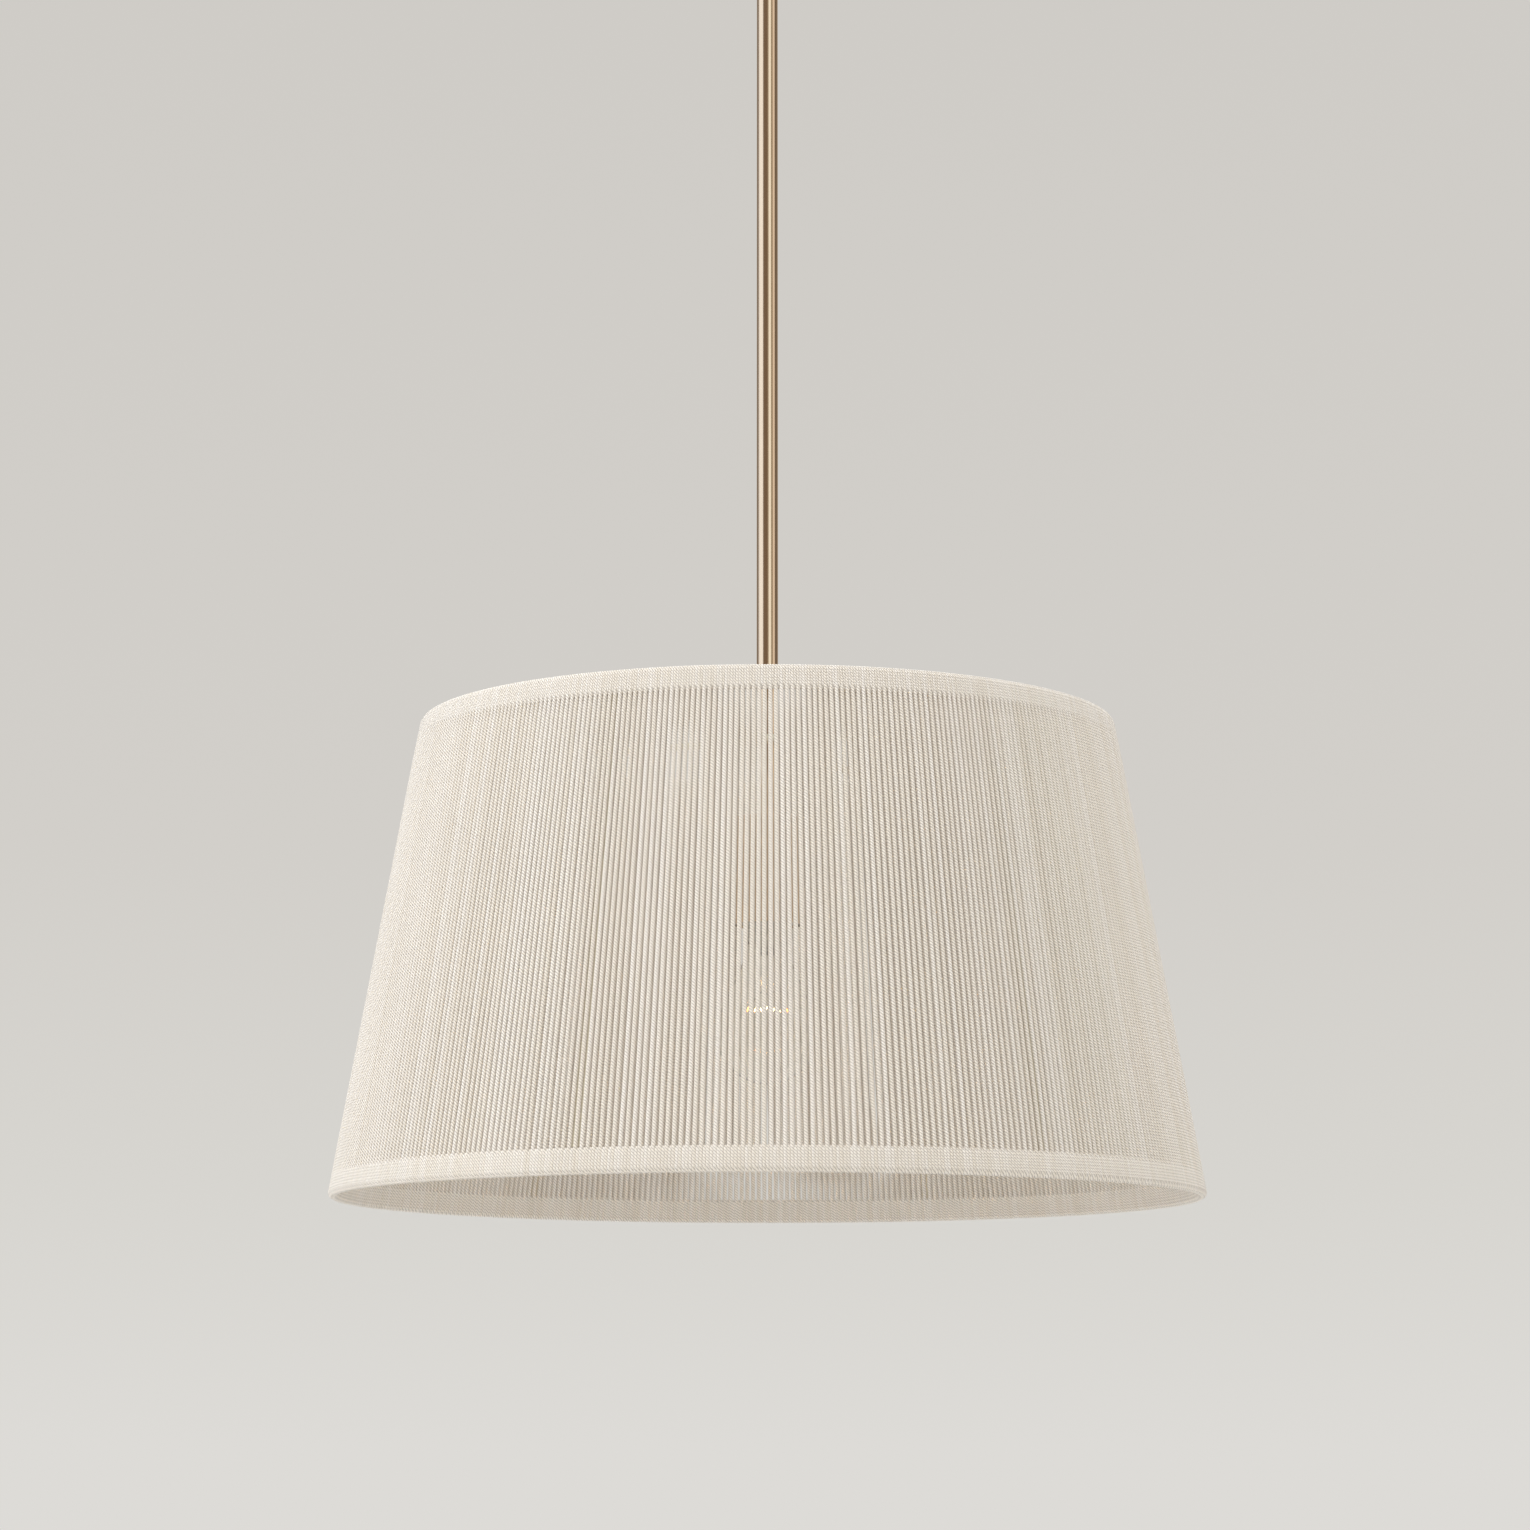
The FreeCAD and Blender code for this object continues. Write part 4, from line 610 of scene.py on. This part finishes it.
class StudioSettings(bpy.types.PropertyGroup):
    """The camera, the lights and the floor."""
    camera_drop: bpy.props.FloatProperty(
        name="Camera drop", description="How far the camera is below the ceiling", default=1.0818,
        unit="LENGTH", subtype="DISTANCE")
    camera_back: bpy.props.FloatProperty(
        name="Camera distance", description="Distance of the camera from the stem's axis", default=2.438,
        unit="LENGTH", subtype="DISTANCE")
    camera_pitch: bpy.props.FloatProperty(
        name="Camera pitch", description="How far the camera looks up", default=math.radians(9.253),
        unit="ROTATION", subtype="ANGLE")
    lens: bpy.props.FloatProperty(
        name="Lens", description="Focal length", default=98.47, unit="CAMERA")
    floor_drop: bpy.props.FloatProperty(
        name="Floor", description="How far the floor is below the ceiling", default=4.2,
        unit="LENGTH", subtype="DISTANCE")
    key: bpy.props.FloatProperty(
        name="Key light", description="Power of the large soft light at the left", default=28.0,
        unit="POWER", subtype="POWER")
    top: bpy.props.FloatProperty(
        name="Top light", description="Power of the soft light over the pendant", default=70.0,
        unit="POWER", subtype="POWER")
    low: bpy.props.FloatProperty(
        name="Low light", description="Power of the soft light near the floor", default=10.0,
        unit="POWER", subtype="POWER")
    glow: bpy.props.FloatProperty(
        name="Bulb", description="Power of the bulb's warm light", default=1.6, unit="POWER", subtype="POWER")
    panels: bpy.props.FloatProperty(
        name="Panels", description="Strength of the tall panels all round", default=1.4)
    overhead: bpy.props.FloatProperty(
        name="Overhead", description="Strength of the sky over the panels", default=0.85)


# ---------------------------------------------------------------- the pieces

class PENDANT_OT_finish_parts(bpy.types.Operator):
    """Gives every part that keeps its shape the finish of its own material"""
    bl_idname = "pendant.finish_parts"
    bl_label = "Finish the parts"
    bl_options = {"UNDO"}

    def execute(self, context):
        made = {slot: finish() for slot, finish in FINISHES.items()}
        for part in frame["record"]["subparts"]:
            if part["material_slot"] in made:
                for place in frame["nodes"][part["node"]].material_slots:
                    place.material = made[part["material_slot"]]
        return {"FINISHED"}


class PENDANT_OT_wind_panel(bpy.types.Operator):
    """Winds the panel of the shade: turns of cord over both hoops, outside and inside"""
    bl_idname = "pendant.wind_panel"
    bl_label = "Wind the panel"
    bl_options = {"UNDO"}

    def execute(self, context):
        sizes = context.scene.pendant_shade
        slope, _ = shade_slope(sizes)
        # stations close together where a turn leaves a band, and few where it runs straight
        edge = [sizes.band / slope * part for part in (0.0, 1.0, FREE_FROM, 2.2, FREE_BY)]
        stations = [*edge, 0.5, *[1 - place for place in reversed(edge)]]
        wind("cord_panel", stations, 0.0, slope, ("outer_cords", "inner_cords"))
        return {"FINISHED"}


class PENDANT_OT_wind_bands(bpy.types.Operator):
    """Winds the close bands: one more turn round each hoop between every two turns of the panel"""
    bl_idname = "pendant.wind_bands"
    bl_label = "Wind the bands"
    bl_options = {"UNDO"}

    def execute(self, context):
        sizes = context.scene.pendant_shade
        slope, _ = shade_slope(sizes)
        stations = [0.0, 0.5, 1.0]
        wind("foot_band_cords", stations, 0.0, sizes.band, ("bottom_band",), Phase=0.5, Seed=11)
        wind("top_band_cords", stations, slope - sizes.band, slope, ("top_band",), Phase=0.5, Seed=12)
        return {"FINISHED"}


class PENDANT_OT_coil_filament(bpy.types.Operator):
    """Coils the filament between its two supports"""
    bl_idname = "pendant.coil_filament"
    bl_label = "Coil the filament"
    bl_options = {"UNDO"}

    def execute(self, context):
        values = {
            "Length": FILAMENT_HIGH.x - FILAMENT_LOW.x,
            "Middle": (FILAMENT_LOW + FILAMENT_HIGH) / 2,
            "Tungsten": glowing_tungsten(),
        }
        build("filament_coil", coil_tree(), mesh_object("filament_start"), values, "bulb",
              ("filament",))
        return {"FINISHED"}


# ---------------------------------------------------------------- the studio

FLOOR_REACH = 40.0
CAMERA_ASIDE = -1.4 * MM
# the bulb's light starts this far outside the glass
GLOW_CLEAR = 2 * MM

# what stands round the pendant and shows in its brass, by compass angle from the front towards the right:
# a wide cool panel at the left, the dark behind the camera, and two narrower warm panels at the right
PANELS = (
    (-180, "#a8a299"), (-130, "#675e55"), (-114, "#675e55"),
    (-106, "#cacfd5"), (-80, "#e0e7ee"), (-51, "#dce3ea"),
    (-43, "#6b5f52"), (-4, "#675849"), (10, "#8a8172"),
    (18, "#dde1dd"), (38, "#dde1dd"),
    (45, "#857c6b"), (58, "#857c6b"),
    (64, "#c8c0b6"), (84, "#c8c0b6"),
    (92, "#63594e"), (120, "#63594e"), (140, "#7f7569"), (180, "#a8a299"),
)


def painted_floor():
    """Studio floor, rolled with matt paint: pale grey, uneven over about a metre."""
    material, shader, node = finish_of("floor_paint_matt", Roughness=0.8)
    place = node("ShaderNodeTexCoord").outputs["Object"]
    cloud = node("ShaderNodeTexNoise", {"Vector": place, "Scale": 0.8})
    tone = node("ShaderNodeValToRGB", {0: cloud}, stops=((0.3, "#e3e1dd"), (0.7, "#e6e4e0")))
    feed(shader, {"Base Color": tone})
    return material


def surroundings(studio):
    """A pale backdrop as the camera sees it, and the soft panels that light and mirror in the pendant."""
    world = bpy.data.worlds.new("soft_studio")
    world.use_nodes = True
    world.node_tree.nodes.clear()
    node = partial(add, world.node_tree)
    direction = node("ShaderNodeTexCoord").outputs["Generated"]
    x, y, height = node("ShaderNodeSeparateXYZ", {0: direction}).outputs
    wall = node("ShaderNodeValToRGB", {0: node("ShaderNodeMapRange", {0: height, 1: 0.0, 2: 0.34})},
                stops=((0.0, "#dddbd7"), (0.18, "#d7d5d0"), (0.41, "#d2cfca"), (1.0, "#cfccc7")))
    seen = node("ShaderNodeBackground", {0: wall, 1: 1.0})

    front = node(MATH, {0: y, 1: -1.0}, operation="MULTIPLY")
    compass = node(MATH, {0: x, 1: front}, operation="ARCTAN2")
    turn = node("ShaderNodeMapRange", {0: compass, 1: -math.pi, 2: math.pi})
    stops = [(0.5 + angle / 360, tone) for angle, tone in PANELS]
    panels = node("ShaderNodeValToRGB", {0: turn}, stops=stops)
    around = node("ShaderNodeBackground", {0: panels, 1: studio.panels})
    ceiling = node("ShaderNodeBackground", {0: linear("#fffefc"), 1: studio.overhead})
    above = node("ShaderNodeMapRange", {0: height, 1: 0.38, 2: 0.5}, interpolation_type="SMOOTHSTEP")
    soft = node("ShaderNodeMixShader", {0: above, 1: around, 2: ceiling})
    ray = node("ShaderNodeLightPath").outputs["Is Camera Ray"]
    node("ShaderNodeOutputWorld", {0: node("ShaderNodeMixShader", {0: ray, 1: soft, 2: seen})})
    return world


def hang_light(name, kind, power, colour, spot, **settings):
    """A lamp that neither the camera nor the brass sees."""
    lamp = bpy.data.lights.new(name, kind)
    lamp.energy = power
    lamp.color = linear(colour)[:3]
    for setting, value in settings.items():
        setattr(lamp, setting, value)
    obj = bpy.data.objects.new(name, lamp)
    obj.location = spot
    obj.visible_camera = False
    obj.visible_glossy = False
    obj.visible_transmission = False
    bpy.context.scene.collection.objects.link(obj)
    return obj


class PENDANT_OT_studio(bpy.types.Operator):
    """Sets up the floor, the soft lights, the pale surroundings and the camera"""
    bl_idname = "pendant.studio"
    bl_label = "Set up the studio"
    bl_options = {"UNDO"}

    def execute(self, context):
        scene = context.scene
        studio = scene.pendant_studio
        scene.view_settings.view_transform = "Standard"
        scene.world = surroundings(studio)

        level = -studio.floor_drop
        around = ((-1, -1), (1, -1), (1, 1), (-1, 1))
        corners = [(x * FLOOR_REACH, y * FLOOR_REACH, level) for x, y in around]
        floor = mesh_object("floor", corners, (), [(0, 1, 2, 3)])
        floor.data.materials.append(painted_floor())

        shade_middle = Vector((0.0, 0.0, (SHADE_FOOT + SHADE_TOP) / 2))
        for name, power, size, spot in (("key", studio.key, 1.8, Vector((-2.6, -1.9, -0.35))),
                                        ("top", studio.top, 4.0, Vector((0.0, -0.6, 2.2))),
                                        ("low", studio.low, 3.0, Vector((0.0, -1.0, 0.6 + level)))):
            lamp = hang_light(name, "AREA", power, "#fffdfa", spot, shape="SQUARE", size=size)
            lamp.rotation_euler = (shade_middle - spot).to_track_quat("-Z", "Y").to_euler()
        glass_radius = (GLASS_HIGH.x - GLASS_LOW.x) / 2
        hang_light("bulb_glow", "POINT", studio.glow, "#ffd09a", (0.0, 0.0, GLASS_LOW.z + glass_radius),
                   shadow_soft_size=glass_radius + GLOW_CLEAR)

        lens = bpy.data.cameras.new("camera")
        lens.lens = studio.lens
        camera = bpy.data.objects.new("camera", lens)
        camera.location = (CAMERA_ASIDE, -studio.camera_back, -studio.camera_drop)
        camera.rotation_euler = (math.pi / 2 + studio.camera_pitch, 0.0, 0.0)
        scene.collection.objects.link(camera)
        scene.camera = camera
        return {"FINISHED"}


# ---------------------------------------------------------------- the add-on

PIECES = (PENDANT_OT_finish_parts, PENDANT_OT_wind_panel, PENDANT_OT_wind_bands, PENDANT_OT_coil_filament)


class PENDANT_PT_sidebar(bpy.types.Panel):
    """Lists the pendant's pieces and settings"""
    bl_idname = "PENDANT_PT_sidebar"
    bl_label = "Cord-wound pendant"
    bl_space_type = "VIEW_3D"
    bl_region_type = "UI"
    bl_category = "Pendant"

    def draw(self, context):
        for settings, operators in ((context.scene.pendant_shade, PIECES),
                                    (context.scene.pendant_studio, (PENDANT_OT_studio,))):
            box = self.layout.box()
            for name in settings.__annotations__:
                box.prop(settings, name)
            for operator in operators:
                box.operator(operator.bl_idname)


CLASSES = (ShadeSizes, StudioSettings, *PIECES, PENDANT_OT_studio, PENDANT_PT_sidebar)


def register():
    for cls in CLASSES:
        bpy.utils.register_class(cls)
    bpy.types.Scene.pendant_shade = bpy.props.PointerProperty(type=ShadeSizes)
    bpy.types.Scene.pendant_studio = bpy.props.PointerProperty(type=StudioSettings)


def unregister():
    del bpy.types.Scene.pendant_studio
    del bpy.types.Scene.pendant_shade
    for cls in reversed(CLASSES):
        bpy.utils.unregister_class(cls)


def main():
    register()
    bpy.ops.pendant.finish_parts()
    bpy.ops.pendant.wind_panel()
    bpy.ops.pendant.wind_bands()
    bpy.ops.pendant.coil_filament()
    bpy.ops.pendant.studio()


if __name__ == "__main__":
    main()
